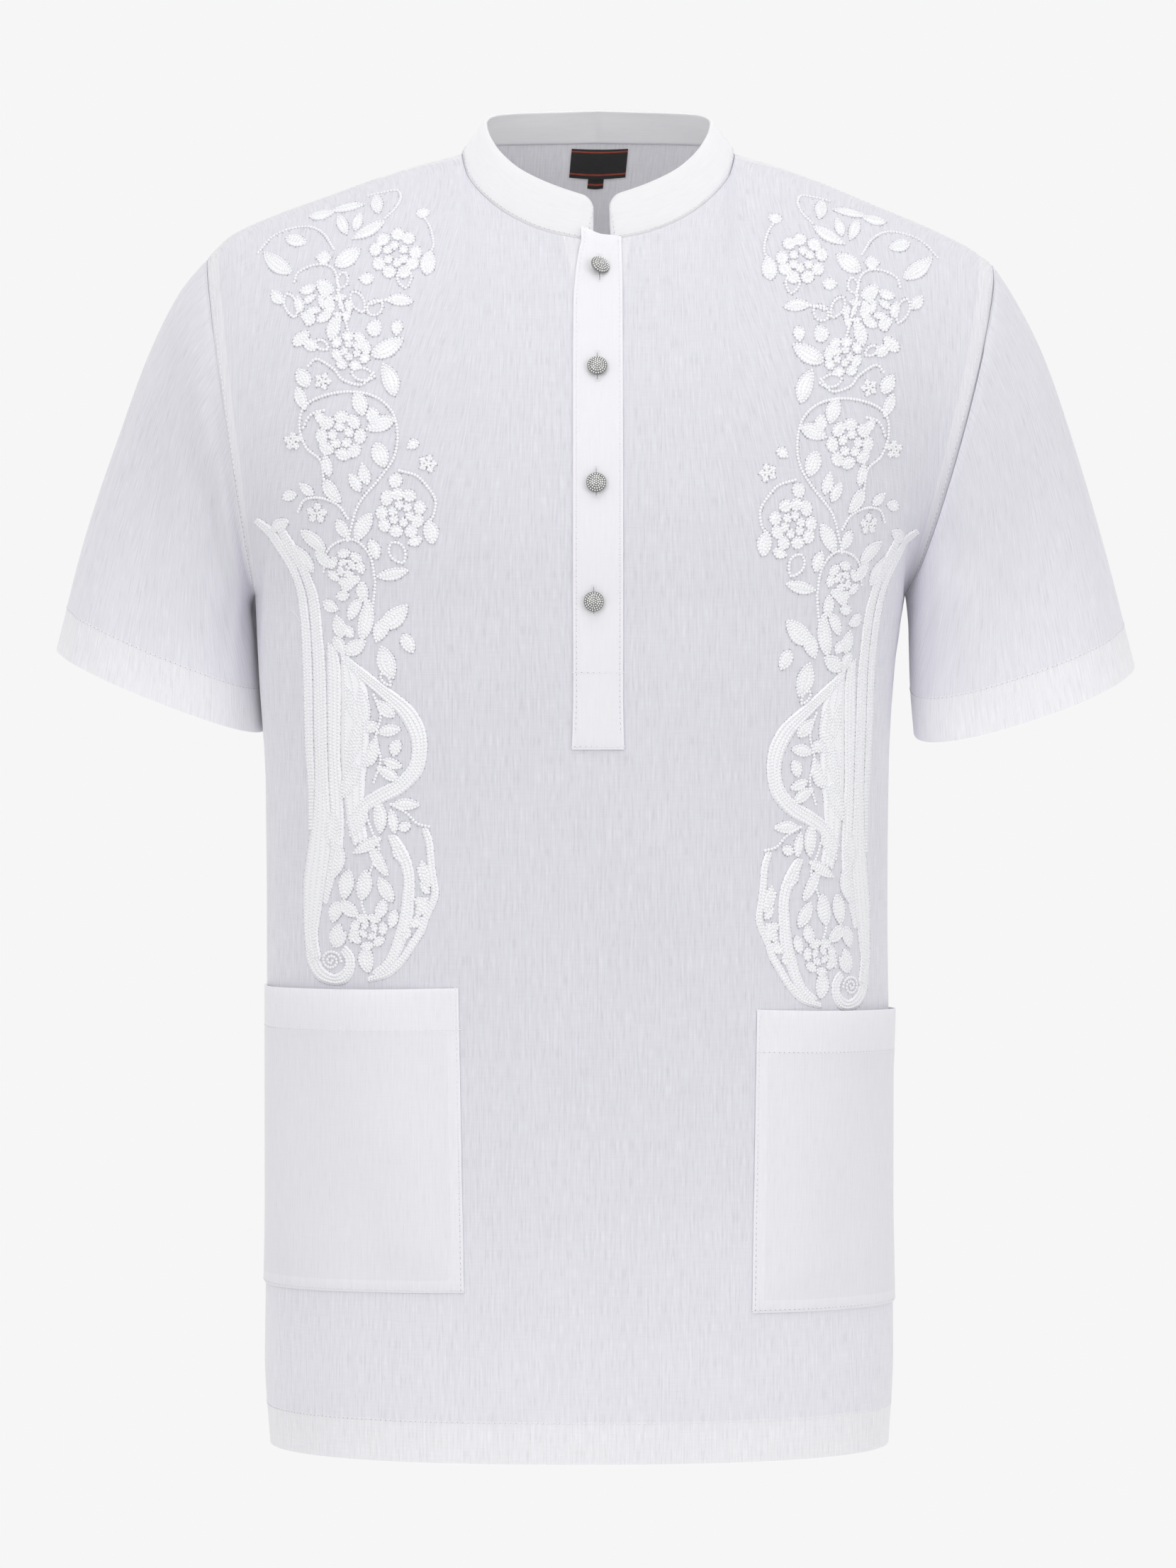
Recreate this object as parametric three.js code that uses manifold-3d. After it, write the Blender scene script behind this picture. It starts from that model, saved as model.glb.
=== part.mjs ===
// A men's fatua: a short, loose, collarless-cut cotton tunic with a stand band collar, a half
// placket with four shank buttons, short set-in sleeves and two hip pockets caught in the side
// seams. It keeps the hollow form it has when worn, with nobody in it.
//
// Units are millimetres. +Z is up, the front faces -Y and +X is the wearer's left. The origin is
// between the two neck points of the shoulder seams, where the wearer's shoulders carry it.
//
// Every cut piece is a wall made from a grid of points: rows run across the piece and columns run
// up it. Pieces that are sewn together share the points of their seam, and each is then pulled
// back from it by half of SEAM_GAP.

import * as THREE from "three";
import { mergeVertices } from "three/addons/utils/BufferGeometryUtils.js";
import Module from "manifold-3d";

// ---- driving dimensions ---------------------------------------------------------------------

const CLOTH = 1.2; // wall of one ply
const FOLDED = 2; // wall of a turned-up hem, two plies and the fold
const BAND = 1.9; // collar and placket, two plies and their interlining
const SEAM_GAP = 0.4; // between two pieces that are sewn together
const LAY_GAP = 0.35; // between a piece and what it lies on
const LABEL_GAP = 0.5;
const COLLAR_GAP = 0.8; // the collar leans in over the panels' edges

const HEM_Z = -748; // lower edge of the body
const HEM_DEPTH = 24;
const CHEST_Z = -253; // level of the underarm points
const ARMPIT_Z = -225; // below it the sleeves fold back against the body
const HEM_STEP = 0.8; // over which the hem's extra ply ends

const NECK = { half: 79.5, front: 62, back: 60 }; // the collar seam, from above
const COLLAR_TOP = { half: 66, front: 49.5, back: 42 };
const COLLAR_ENDS = { left: -3, right: 7 }; // where the collar's two ends stop at the front
const COLLAR_CORNER = 8; // radius of their upper corners

const TIP = { left: [-228, 0, -58], right: [229, 0, -61] }; // outer ends of the shoulder seams
const ARMHOLE = { front: 62, back: 68 }; // how far the armholes reach forwards and backwards
const ARMHOLE_BOW = { left: 1, right: 7 }; // how far they bow outwards between underarm and tip

const PLACKET_END_Z = -337;
const PLACKET_BOX_Z = -293; // upper edge of the stitched box at its end
const PLACKET_TUCK = { from: 7, most: 0.5 }; // yoke row where it starts, share of the half width
const PLACKET_TOP = 0.06; // rows left free under the collar
const PLACKET_UNDER_END = 0.25; // rows by which the inner strip ends sooner
const SLIT_HALF = 0.6;
const SLIT_END_Z = -328;

// The pockets' heights at the side seam, how much higher their inner corners lie, and how far
// their inner edges lean towards the centre on the way down.
const POCKET = {
  left: { top: -479.5, bottom: -653.5, raised: { top: 5.5, bottom: 4.3 }, lean: 3.2 },
  right: { top: -494.9, bottom: -665, raised: { top: 7.7, bottom: 3.3 }, lean: 3.4 },
};
const POCKET_HEM = 24;

const BUTTON = { radius: 5.7, rim: 1.1, dome: 2.3, foot: 4.7, shank: 1.7, stand: 1.3, clear: 0.5 };
const BUTTON_ROWS = [
  { x: 0.7, z: -62.6, turn: 24 },
  { x: -0.7, z: -119.3, turn: 0 },
  { x: -1.3, z: -185.2, turn: 0 },
  { x: -2.7, z: -252.6, turn: 0 },
]; // turn: degrees about the vertical, for a button that leans on its shank

const LABEL = { from: -15.2, to: 17.2, down: 2.5, tall: 21, thick: 0.7 };
const SIZE_TAB = { from: -4, to: 5.4, tall: 8, thick: 0.6 };

// Horizontal sections of the body, from the hem to the chest. left, right: the sides. front,
// back: the depth either way. square: 2 is an ellipse, more is fuller at the corners.
const BODY = [
  { z: -748, left: -192, right: 170, front: -131, back: 120, square: 2.4 },
  { z: -700, left: -195, right: 172, front: -133, back: 122, square: 2.45 },
  { z: -600, left: -193.5, right: 169, front: -135, back: 124, square: 2.45 },
  { z: -450, left: -193.5, right: 167.5, front: -138, back: 126, square: 2.4 },
  { z: -364, left: -194, right: 169, front: -139, back: 128, square: 2.4 },
  { z: -300, left: -197.8, right: 172.5, front: -138.5, back: 130, square: 2.4 },
  { z: -253, left: -200, right: 179, front: -136, back: 131, square: 2.4 },
];
const BODY_Y = -4; // depth of the sides of every section

// Height of the collar seam and of the collar's upper edge, by turn from the centre front.
const NECK_RISE = [
  { turn: 0, seam: -48, top: -23 },
  { turn: 22, seam: -42, top: -15 },
  { turn: 42, seam: -31.5, top: -6 },
  { turn: 57, seam: -21, top: 3 },
  { turn: 73, seam: -9.5, top: 13.5 },
  { turn: 90, seam: 4, top: 22.5 },
  { turn: 120, seam: 9, top: 27.5 },
  { turn: 180, seam: 11, top: 30 },
];

// Height of the shoulder seams, by share of the way from the neck point to the tip.
const SHOULDER = [
  { share: 0, left: 4, right: 4 },
  { share: 0.25, left: -7, right: -8.5 },
  { share: 0.5, left: -20, right: -24 },
  { share: 0.75, left: -33.5, right: -39.5 },
  { share: 0.9, left: -44, right: -50.5 },
  { share: 1, left: -58, right: -61 },
];

// Sections of the sleeves. at: share of the way from armhole to cuff. out, under: the outer and
// the underarm edge seen from the front. y: depth of both. front, back: reach from there. dip:
// how much lower the section's front is than its sides. hug: how far its inner side wraps round
// the body behind the underarm.
const SLEEVE_NAMES = "at outX outZ underX underZ y front back dip hug".split(" ");
const named = (names, rows) =>
  rows.map((row) => Object.fromEntries(names.map((name, i) => [name, row[i]])));
const SLEEVE = {
  left: named(SLEEVE_NAMES, [
    [0, -228, -58, -200, -253, -3, 62, 68, 0, 0],
    [0.12, -243, -76, -202.5, -261, 1, 64, 66, 0, 4],
    [0.3, -261, -110, -201.3, -270, 12, 65, 65, 1, 9],
    [0.5, -280, -160, -199.8, -284, 19, 64, 64, 3, 9],
    [0.75, -301, -222, -198, -304, 23, 62, 62, 3, 7],
    [1, -317.5, -286, -195.5, -333, 25, 61, 61, 5, 6],
  ]),
  right: named(SLEEVE_NAMES, [
    [0, 229, -61, 179, -253, -3, 62, 68, 0, 0],
    [0.12, 240, -77, 180, -261, 0, 64, 66, 1, 0],
    [0.3, 258, -111, 181, -272, 2, 65, 65, 3, 0],
    [0.5, 276, -161, 181.5, -287, 4, 64, 64, 6, 0],
    [0.75, 295, -224, 182.3, -308, 6, 62, 62, 6, 0],
    [1, 313.5, -295, 184.5, -335, 7, 61, 61, 10, 0],
  ]),
};
const SLEEVE_SQUARE = 2.7; // squareness of a sleeve's inner half
const SLEEVE_ROWS = [0, 0.05, 0.12, 0.2, 0.3, 0.4, 0.52, 0.64, 0.76, 0.875, 0.88, 1];
const CUFF_SHARE = 0.88; // where the cuff's turned-up hem ends

// Columns of a half panel, from its centre line to its side. chest: share of the way to the side
// seam. neck: degrees round the collar seam. shoulder: share of the shoulder seam. tilt: how far
// the column has turned towards the level by its upper end, in degrees. slack: 1 follows an
// ellipse on the way there, more lies back from it and less stands fuller.
const COLUMNS = [
  { chest: 0, neck: 0, tilt: 38, slack: 0.95 },
  { chest: 0.0545, neck: 10.4, tilt: 40, slack: 0.96 }, // the placket's edges
  { chest: 0.108, neck: 25, tilt: 45, slack: 1 },
  { chest: 0.158, neck: 41, tilt: 54, slack: 1.05 },
  { chest: 0.208, neck: 58, tilt: 66, slack: 1.12 },
  { chest: 0.26, neck: 74, tilt: 78, slack: 1.2 },
  { chest: 0.315, neck: 90, shoulder: 0, tilt: 86, slack: 1.25 },
  { chest: 0.363, shoulder: 0.08, tilt: 88, slack: 1.22 },
  { chest: 0.46, shoulder: 0.2, tilt: 90, slack: 1.12 },
  { chest: 0.54, shoulder: 0.32, tilt: 90, slack: 1.03 },
  { chest: 0.62, shoulder: 0.44, tilt: 90, slack: 0.96 },
  { chest: 0.7, shoulder: 0.56, tilt: 90, slack: 0.9 },
  { chest: 0.78, shoulder: 0.67, tilt: 90, slack: 0.85 },
  { chest: 0.86, shoulder: 0.78, tilt: 90, slack: 0.82 },
  { chest: 0.93, shoulder: 0.89, tilt: 90, slack: 0.8 },
  { chest: 1, shoulder: 1, tilt: 90, slack: 0.8 },
];
const LAST = COLUMNS.length - 1;
const NECK_COLUMN = 6; // the column that ends at the neck point
const POCKET_COLUMN = { left: 6, right: 7 }; // the column along each pocket's inner edge
const ARMHOLE_FADE = 3; // how fast the armhole's shape fades towards the centre line

// Rows of the body below the chest, with a row along every edge that lies on it.
const LOW_ROWS = [
  HEM_Z,
  HEM_Z + HEM_DEPTH,
  HEM_Z + HEM_DEPTH + HEM_STEP,
  -700,
  POCKET.right.bottom,
  POCKET.left.bottom,
  -610,
  -565,
  POCKET.right.top - POCKET_HEM,
  POCKET.left.top - POCKET_HEM,
  POCKET.right.top,
  POCKET.left.top,
  -440,
  -390,
  PLACKET_END_Z,
  PLACKET_BOX_Z,
];
const YOKE_ROWS = 13; // rows from the chest to the neck and the shoulders

// Large soft folds. at: column share across the panel, -1 to 1, or degrees round a sleeve from
// its outer edge. from, to: height, or share down a sleeve. wide: in the same unit as at.
const FOLDS = {
  front: [
    { at: -0.82, from: -735, to: -330, wide: 0.09, deep: 2.6 },
    { at: -0.52, from: -748, to: -560, wide: 0.08, deep: -1.8 },
    { at: 0.16, from: -748, to: -600, wide: 0.1, deep: 1.6 },
    { at: 0.6, from: -748, to: -540, wide: 0.08, deep: -2 },
    { at: 0.86, from: -740, to: -340, wide: 0.08, deep: 2.4 },
    { at: -0.7, from: -330, to: -150, wide: 0.09, deep: -2.2 },
    { at: 0.68, from: -320, to: -150, wide: 0.09, deep: -2.2 },
  ],
  back: [
    { at: -0.75, from: -748, to: -320, wide: 0.1, deep: 3.4 },
    { at: -0.4, from: -748, to: -430, wide: 0.09, deep: -3 },
    { at: -0.08, from: -748, to: -380, wide: 0.1, deep: 3 },
    { at: 0.3, from: -748, to: -450, wide: 0.09, deep: -3.2 },
    { at: 0.72, from: -748, to: -330, wide: 0.1, deep: 3.4 },
    { at: -0.62, from: -300, to: -120, wide: 0.1, deep: 2.6 },
    { at: 0.6, from: -300, to: -120, wide: 0.1, deep: 2.6 },
  ],
  sleeve_left: [
    { at: 34, from: 0.3, to: 1.05, wide: 9, deep: 2.6 },
    { at: 58, from: 0.22, to: 0.9, wide: 10, deep: -2.2 },
    { at: 84, from: 0.3, to: 0.95, wide: 10, deep: 2.4 },
    { at: 250, from: 0.25, to: 1, wide: 12, deep: -2.6 },
    { at: 300, from: 0.3, to: 1.05, wide: 12, deep: 2.8 },
  ],
  sleeve_right: [
    { at: 40, from: 0.3, to: 1.05, wide: 10, deep: 2.2 },
    { at: 72, from: 0.2, to: 0.95, wide: 12, deep: -2.4 },
    { at: 104, from: 0.35, to: 0.95, wide: 10, deep: 2 },
    { at: 245, from: 0.25, to: 1, wide: 12, deep: -2.6 },
    { at: 305, from: 0.3, to: 1.05, wide: 12, deep: 2.8 },
  ],
};

// ---- small helpers --------------------------------------------------------------------------

const SIDES = ["left", "right"];
const rad = THREE.MathUtils.degToRad;
const lerp = THREE.MathUtils.lerp;
const vec = (x, y, z) => new THREE.Vector3(x, y, z);
const signed = (value, power) => Math.sign(value) * Math.abs(value) ** power;

// Every named column of a table at one value of its key column, on a smooth curve through the
// rows that doesn't overshoot them.
function look(table, key, value) {
  let i = 0;
  while (i < table.length - 2 && value > table[i + 1][key]) i += 1;
  const [a, b] = [table[i], table[i + 1]];
  const share = THREE.MathUtils.clamp((value - a[key]) / (b[key] - a[key]), 0, 1);
  const slope = (name, at) => {
    const before = table[Math.max(at - 1, 0)];
    const here = table[at];
    const after = table[Math.min(at + 1, table.length - 1)];
    const up = (after[name] - here[name]) / (after[key] - here[key] || 1);
    const down = (here[name] - before[name]) / (here[key] - before[key] || 1);
    if (at === 0) return up;
    if (at === table.length - 1) return down;
    return up * down <= 0 ? 0 : (2 * up * down) / (up + down);
  };
  const found = {};
  for (const name of Object.keys(a)) {
    const step = b[key] - a[key];
    const [h1, h2] = [slope(name, i) * step, slope(name, i + 1) * step];
    const t = share;
    found[name] =
      (2 * t ** 3 - 3 * t ** 2 + 1) * a[name] +
      (t ** 3 - 2 * t ** 2 + t) * h1 +
      (3 * t ** 2 - 2 * t ** 3) * b[name] +
      (t ** 3 - t ** 2) * h2;
  }
  return found;
}

// How far a table of folds pushes the cloth out at one place.
function foldHeight(folds, across, along) {
  let height = 0;
  for (const fold of folds) {
    const inside = (along - fold.from) / (fold.to - fold.from);
    if (inside <= 0 || inside >= 1) continue;
    const bell = Math.exp(-(((across - fold.at) / fold.wide) ** 2));
    height += fold.deep * bell * Math.sin(Math.PI * inside);
  }
  return height;
}

// ---- the body's surface ---------------------------------------------------------------------

// The closed section at one height, as points 1 degree apart with the cloth's length from the
// centre front to each. Angles run from the front towards the wearer's left.
const sections = new Map();
function section(z) {
  if (sections.has(z)) return sections.get(z);
  const size = look(BODY, "z", z);
  const middle = (size.left + size.right) / 2;
  const half = (size.right - size.left) / 2;
  const at = (degrees) => {
    const [s, c] = [Math.sin(rad(degrees)), Math.cos(rad(degrees))];
    const depth = c > 0 ? BODY_Y - size.front : size.back - BODY_Y;
    const power = 2 / size.square;
    return vec(middle + half * signed(s, power), BODY_Y - depth * signed(c, power), z);
  };
  let start = -20;
  while (at(start).x < 0) start += 0.02;
  const points = [];
  const lengths = [0];
  for (let i = 0; i <= 720; i += 1) {
    points.push(at(start + i / 2));
    if (i) lengths.push(lengths[i - 1] + points[i].distanceTo(points[i - 1]));
  }
  const found = { points, lengths, around: lengths[720] };
  sections.set(z, found);
  return found;
}

// A point of the body below the chest. quarter: 0 at the centre front, 1 and -1 at the side
// seams, 2 at the centre back.
function bodyPoint(quarter, z) {
  const { points, lengths, around } = section(z);
  const length = ((((quarter / 4) % 1) + 1) % 1) * around;
  let i = 1;
  while (i < 719 && lengths[i] < length) i += 1;
  const share = (length - lengths[i - 1]) / (lengths[i] - lengths[i - 1]);
  return points[i - 1].clone().lerp(points[i], share);
}

// A point of the collar seam or of the collar's upper edge. turn: degrees from the centre front,
// positive towards the wearer's left.
function neckPoint(turn, edge) {
  const size = edge === "seam" ? NECK : COLLAR_TOP;
  const height = look(NECK_RISE, "turn", Math.abs(turn))[edge];
  const [s, c] = [Math.sin(rad(turn)), Math.cos(rad(turn))];
  return vec(size.half * s, c > 0 ? -size.front * c : -size.back * c, height);
}

// The place on the straight edges between the panels' own points along the collar seam.
function seamPoint(turn) {
  const stops = COLUMNS.slice(0, NECK_COLUMN + 1).map((column) => column.neck);
  const all = [...stops, ...stops.map((stop) => 180 - stop).reverse()];
  let i = 0;
  while (i < all.length - 2 && Math.abs(turn) > all[i + 1]) i += 1;
  const [a, b] = [all[i], all[i + 1]].map((stop) => neckPoint(Math.sign(turn) * stop, "seam"));
  const share = (Math.abs(turn) - all[i]) / (all[i + 1] - all[i] || 1);
  return a.lerp(b, share);
}

// The upper end of a column: on the collar seam, or on the shoulder seam.
function columnTop(face, side, column) {
  const sign = side === "left" ? -1 : 1;
  if (column.shoulder === undefined) {
    const turn = face === "front" ? column.neck : 180 - column.neck;
    return neckPoint(sign * turn, "seam");
  }
  const x = lerp(sign * NECK.half, TIP[side][0], column.shoulder);
  return vec(x, 0, look(SHOULDER, "share", column.shoulder)[side]);
}

// The armhole: an upright oval from the underarm (0) over the front or the back to the tip (1).
function armholePoint(face, side, share) {
  const sign = side === "left" ? -1 : 1;
  const under = bodyPoint(sign, CHEST_Z);
  const tip = vec(...TIP[side]);
  const swing = Math.sin(Math.PI * share);
  const point = under.lerp(tip, (1 - Math.cos(Math.PI * share)) / 2);
  point.y += (face === "front" ? -ARMHOLE.front : ARMHOLE.back) * swing;
  point.x += sign * ARMHOLE_BOW[side] * swing;
  return point;
}

// A point of the body above the chest, share of the way up a column.
function yokePoint(face, side, index, share) {
  const column = COLUMNS[index];
  const sign = side === "left" ? -1 : 1;
  const bare = (k) => {
    const { chest, tilt, slack } = COLUMNS[k];
    const low = bodyPoint(sign * (face === "front" ? chest : 2 - chest), CHEST_Z);
    const top = columnTop(face, side, COLUMNS[k]);
    const [full, now] = [rad(tilt), rad(tilt) * share];
    const sink = (Math.cos(now) - Math.cos(full)) / (1 - Math.cos(full));
    return vec(
      lerp(low.x, top.x, share),
      top.y + (low.y - top.y) * Math.max(sink, 0) ** slack,
      low.z + ((top.z - low.z) * Math.sin(now)) / Math.sin(full),
    );
  };
  const pull = armholePoint(face, side, share).sub(bare(LAST));
  return bare(index).add(pull.multiplyScalar(column.chest ** ARMHOLE_FADE));
}

// The grid of the front or the back, rows from the hem up and columns from the wearer's right
// side to the left side of the front, or the other way round on the back.
function panelGrid(face) {
  const order = face === "front" ? [-1, 1] : [1, -1];
  const columns = [];
  for (let k = LAST; k > 0; k -= 1) columns.push({ sign: order[0], index: k });
  for (let k = 0; k <= LAST; k += 1) columns.push({ sign: order[1], index: k });
  const make = (at) => columns.map(({ sign, index }) => at(sign, index));
  const rows = LOW_ROWS.map((z) =>
    make((sign, index) => {
      const chest = COLUMNS[index].chest;
      return bodyPoint(sign * (face === "front" ? chest : 2 - chest), z);
    }),
  );
  for (let i = 0; i <= YOKE_ROWS; i += 1) {
    rows.push(
      make((sign, index) => yokePoint(face, sign < 0 ? "left" : "right", index, i / YOKE_ROWS)),
    );
  }
  return rows;
}

// The grid of a sleeve: rows from the armhole to the cuff, each a closed ring from the outer edge
// over the front, the underarm and the back.
function sleeveGrid(side) {
  const around = 2 * YOKE_ROWS;
  return SLEEVE_ROWS.map((share) => {
    const size = look(SLEEVE[side], "at", share);
    const out = vec(size.outX, size.y, size.outZ);
    const under = vec(size.underX, size.y, size.underZ);
    const ring = [];
    for (let i = 0; i < around; i += 1) {
      const angle = (2 * Math.PI * i) / around;
      const front = Math.sin(angle) > 0;
      if (share === 0) {
        const up = Math.abs(1 - i / YOKE_ROWS);
        ring.push(armholePoint(front ? "front" : "back", side, up));
        continue;
      }
      const [s, c] = [Math.sin(angle), Math.cos(angle)];
      const square = 2 / (c < 0 ? lerp(2, SLEEVE_SQUARE, Math.min(share * 3, 1)) : 2);
      const point = under.clone().lerp(out, (1 + signed(c, square)) / 2);
      point.y -= (front ? size.front : size.back) * signed(s, square);
      point.z -= size.dip * s;
      const outward = side === "left" ? -1 : 1;
      point.x += outward * ARMHOLE_BOW[side] * (1 - share) ** 2 * Math.abs(s);
      if (c < 0 && !front) point.x += outward * size.hug * 2 * c * Math.abs(s);
      ring.push(point);
    }
    return ring;
  });
}

// ---- walls ----------------------------------------------------------------------------------

// The outward normal at every point of a grid. closed: the last column meets the first.
function gridNormals(grid, closed, flip) {
  const [rows, columns] = [grid.length, grid[0].length];
  const wrap = (c) => (c + columns) % columns;
  return grid.map((row, r) =>
    row.map((_, c) => {
      const left = closed ? row[wrap(c - 1)] : row[Math.max(c - 1, 0)];
      const right = closed ? row[wrap(c + 1)] : row[Math.min(c + 1, columns - 1)];
      const below = grid[Math.max(r - 1, 0)][c];
      const above = grid[Math.min(r + 1, rows - 1)][c];
      const across = right.clone().sub(left);
      const upward = above.clone().sub(below);
      return across.cross(upward).normalize().multiplyScalar(flip ? -1 : 1);
    }),
  );
}

// One sheet: its points, its outward normals, and whether its columns close into a tube.
const sheet = (grid, closed = false, flip = false) => ({
  grid,
  closed,
  normals: gridNormals(grid, closed, flip),
  flip,
});

// Pushes a sheet in and out along its normals, by a height for each row and column.
function relief({ grid, normals, closed, flip }, height) {
  const moved = grid.map((row, r) =>
    row.map((p, c) => p.clone().addScaledVector(normals[r][c], height(r, c))),
  );
  return { grid: moved, normals, closed, flip };
}

// Gives sheets that share a seam the same normal along it, so that their edges stay parallel. In
// the armpit, where the cloth doubles back on itself, each keeps its own.
function shareSeamNormals(sheets) {
  const meetings = new Map();
  for (const { grid, normals, closed } of sheets) {
    grid.forEach((row, r) =>
      row.forEach((p, c) => {
        const atEnd = r === 0 || r === grid.length - 1;
        if (!atEnd && (closed || (c > 0 && c < row.length - 1))) return;
        const key = p.toArray().map((value) => Math.round(value * 10)).join();
        if (!meetings.has(key)) meetings.set(key, []);
        meetings.get(key).push(normals[r][c]);
        normals[r][c].alike = p.z < ARMPIT_Z ? 0.2 : -1;
      }),
    );
  }
  for (const meeting of meetings.values()) {
    const before = meeting.map((normal) => normal.clone());
    meeting.forEach((normal, i) => {
      const sum = vec(0, 0, 0);
      for (const other of before) if (other.dot(before[i]) > normal.alike) sum.add(other);
      normal.copy(sum.normalize());
    });
  }
}

// Pulls the named edges of a sheet back, square to their seams.
function pullBack(part, edges) {
  const { grid, closed } = part;
  const [rows, columns] = [grid.length, grid[0].length];
  const moved = grid.map((row) => row.map((p) => p.clone()));
  const pull = (r, c, inside, before, after) => {
    const along = after.clone().sub(before).normalize();
    const inward = inside.clone().sub(grid[r][c]);
    inward.addScaledVector(along, -inward.dot(along)).normalize();
    const armpit = closed && grid[r][c].z < ARMPIT_Z;
    moved[r][c].addScaledVector(inward, armpit ? 2 * SEAM_GAP : SEAM_GAP / 2);
  };
  const wrap = (c) =>
    closed ? (c + columns) % columns : THREE.MathUtils.clamp(c, 0, columns - 1);
  for (const [wanted, r, next] of [
    [edges.first, 0, 1],
    [edges.last, rows - 1, rows - 2],
  ]) {
    for (let c = 0; wanted && c < columns; c += 1) {
      if (wanted(c)) pull(r, c, grid[next][c], grid[r][wrap(c - 1)], grid[r][wrap(c + 1)]);
    }
  }
  for (let r = 0; edges.sides && r < rows; r += 1) {
    const [before, after] = [grid[Math.max(r - 1, 0)], grid[Math.min(r + 1, rows - 1)]];
    const end = columns - 1;
    pull(r, 0, grid[r][1], before[0], after[0]);
    pull(r, end, grid[r][end - 1], before[end], after[end]);
  }
  return { ...part, grid: moved };
}

// A closed wall between two surfaces over a sheet's grid, at heights along its normals that may
// differ from row to row.
function wallGeometry({ grid, normals, closed, flip }, outer, inner) {
  const [rows, columns] = [grid.length, grid[0].length];
  const position = [];
  for (const height of [outer, inner]) {
    grid.forEach((row, r) =>
      row.forEach((p, c) => {
        position.push(...p.clone().addScaledVector(normals[r][c], height(r, c)).toArray());
      }),
    );
  }
  const under = rows * columns;
  const at = (r, c) => r * columns + (c % columns);
  const index = [];
  const quad = (a, b, c, d) => {
    if (flip) index.push(a, c, b, a, d, c);
    else index.push(a, b, c, a, c, d);
  };
  const spans = closed ? columns : columns - 1;
  for (let r = 0; r < rows - 1; r += 1) {
    for (let c = 0; c < spans; c += 1) {
      const [a, b, d, e] = [at(r, c), at(r, c + 1), at(r + 1, c + 1), at(r + 1, c)];
      quad(a, b, d, e);
      quad(under + a, under + e, under + d, under + b);
    }
  }
  for (let c = 0; c < spans; c += 1) {
    const top = rows - 1;
    quad(at(0, c), under + at(0, c), under + at(0, c + 1), at(0, c + 1));
    quad(at(top, c), at(top, c + 1), under + at(top, c + 1), under + at(top, c));
  }
  if (!closed) {
    for (let r = 0; r < rows - 1; r += 1) {
      const end = columns - 1;
      quad(at(r, 0), at(r + 1, 0), under + at(r + 1, 0), under + at(r, 0));
      quad(at(r, end), under + at(r, end), under + at(r + 1, end), at(r + 1, end));
    }
  }
  const geometry = new THREE.BufferGeometry();
  geometry.setAttribute("position", new THREE.Float32BufferAttribute(position, 3));
  geometry.setIndex(index);
  return geometry;
}

// A patch of another sheet between fractional rows and columns, on that sheet's own facets.
// Whole rows and columns inside the patch are kept, except where move shifts their places.
function patch({ grid, normals, flip }, rows, columns, move = (r, c) => [r, c]) {
  const steps = ([from, to]) => {
    const list = [from];
    for (let i = Math.floor(from) + 1; i < to; i += 1) list.push(i);
    return [...list, to];
  };
  const sample = (table, r, c) => {
    const [r0, c0] = [
      Math.min(Math.floor(r), table.length - 2),
      Math.min(Math.floor(c), table[0].length - 2),
    ];
    const low = table[r0][c0].clone().lerp(table[r0][c0 + 1], c - c0);
    return low.lerp(table[r0 + 1][c0].clone().lerp(table[r0 + 1][c0 + 1], c - c0), r - r0);
  };
  const places = steps(rows).map((r) => steps(columns).map((c) => move(r, c)));
  return {
    closed: false,
    flip,
    grid: places.map((row) => row.map(([r, c]) => sample(grid, r, c))),
    normals: places.map((row) => row.map(([r, c]) => sample(normals, r, c).normalize())),
  };
}

// ---- materials and parts --------------------------------------------------------------------

const finish = (color, roughness, metalness = 0) =>
  new THREE.MeshStandardMaterial({ color, roughness, metalness });
const cottonPly = finish(0xe0dfe7, 0.9);
const cottonBand = finish(0xf1f0f4, 0.85);
const silverMetal = finish(0xc2c2c2, 0.35, 1);
const wovenLabel = finish(0x1b1818, 0.7);

const garment = new THREE.Group();
const add = (name, geometry, material) => {
  const mesh = new THREE.Mesh(geometry, material);
  mesh.name = name;
  garment.add(mesh);
  return mesh;
};

const wasm = await Module();
wasm.setup();
const solid = (geometry) =>
  new wasm.Manifold(
    new wasm.Mesh({
      numProp: 3,
      vertProperties: geometry.getAttribute("position").array,
      triVerts: new Uint32Array(geometry.index.array),
    }),
  );
const geometryOf = (made) => {
  const mesh = made.getMesh();
  const geometry = new THREE.BufferGeometry();
  geometry.setAttribute("position", new THREE.BufferAttribute(mesh.vertProperties, 3));
  geometry.setIndex(new THREE.BufferAttribute(mesh.triVerts, 1));
  return geometry;
};

// Column share across a panel, -1 to 1, for its folds.
const across = (c) => Math.sign(c - LAST) * COLUMNS[Math.abs(c - LAST)].chest;
const chestRow = LOW_ROWS.length;
const topRow = chestRow + YOKE_ROWS;
const hemWall = (r) => (r <= 1 ? FOLDED : CLOTH);

function makePanel(face) {
  const flat = sheet(panelGrid(face));
  return relief(flat, (r, c) => {
    if (c === 0 || c === 2 * LAST || r === topRow) return 0;
    return foldHeight(FOLDS[face], across(c), flat.grid[r][c].z);
  });
}

function makeSleeve(side) {
  const flat = sheet(sleeveGrid(side), true, side === "left");
  const degrees = 360 / (2 * YOKE_ROWS);
  return relief(flat, (r, c) =>
    foldHeight(FOLDS[`sleeve_${side}`], c * degrees, SLEEVE_ROWS[r] * Math.sign(r)),
  );
}

const front = makePanel("front");
const back = makePanel("back");
const sleeves = { left: makeSleeve("left"), right: makeSleeve("right") };
shareSeamNormals([front, back, sleeves.left, sleeves.right]);

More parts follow.
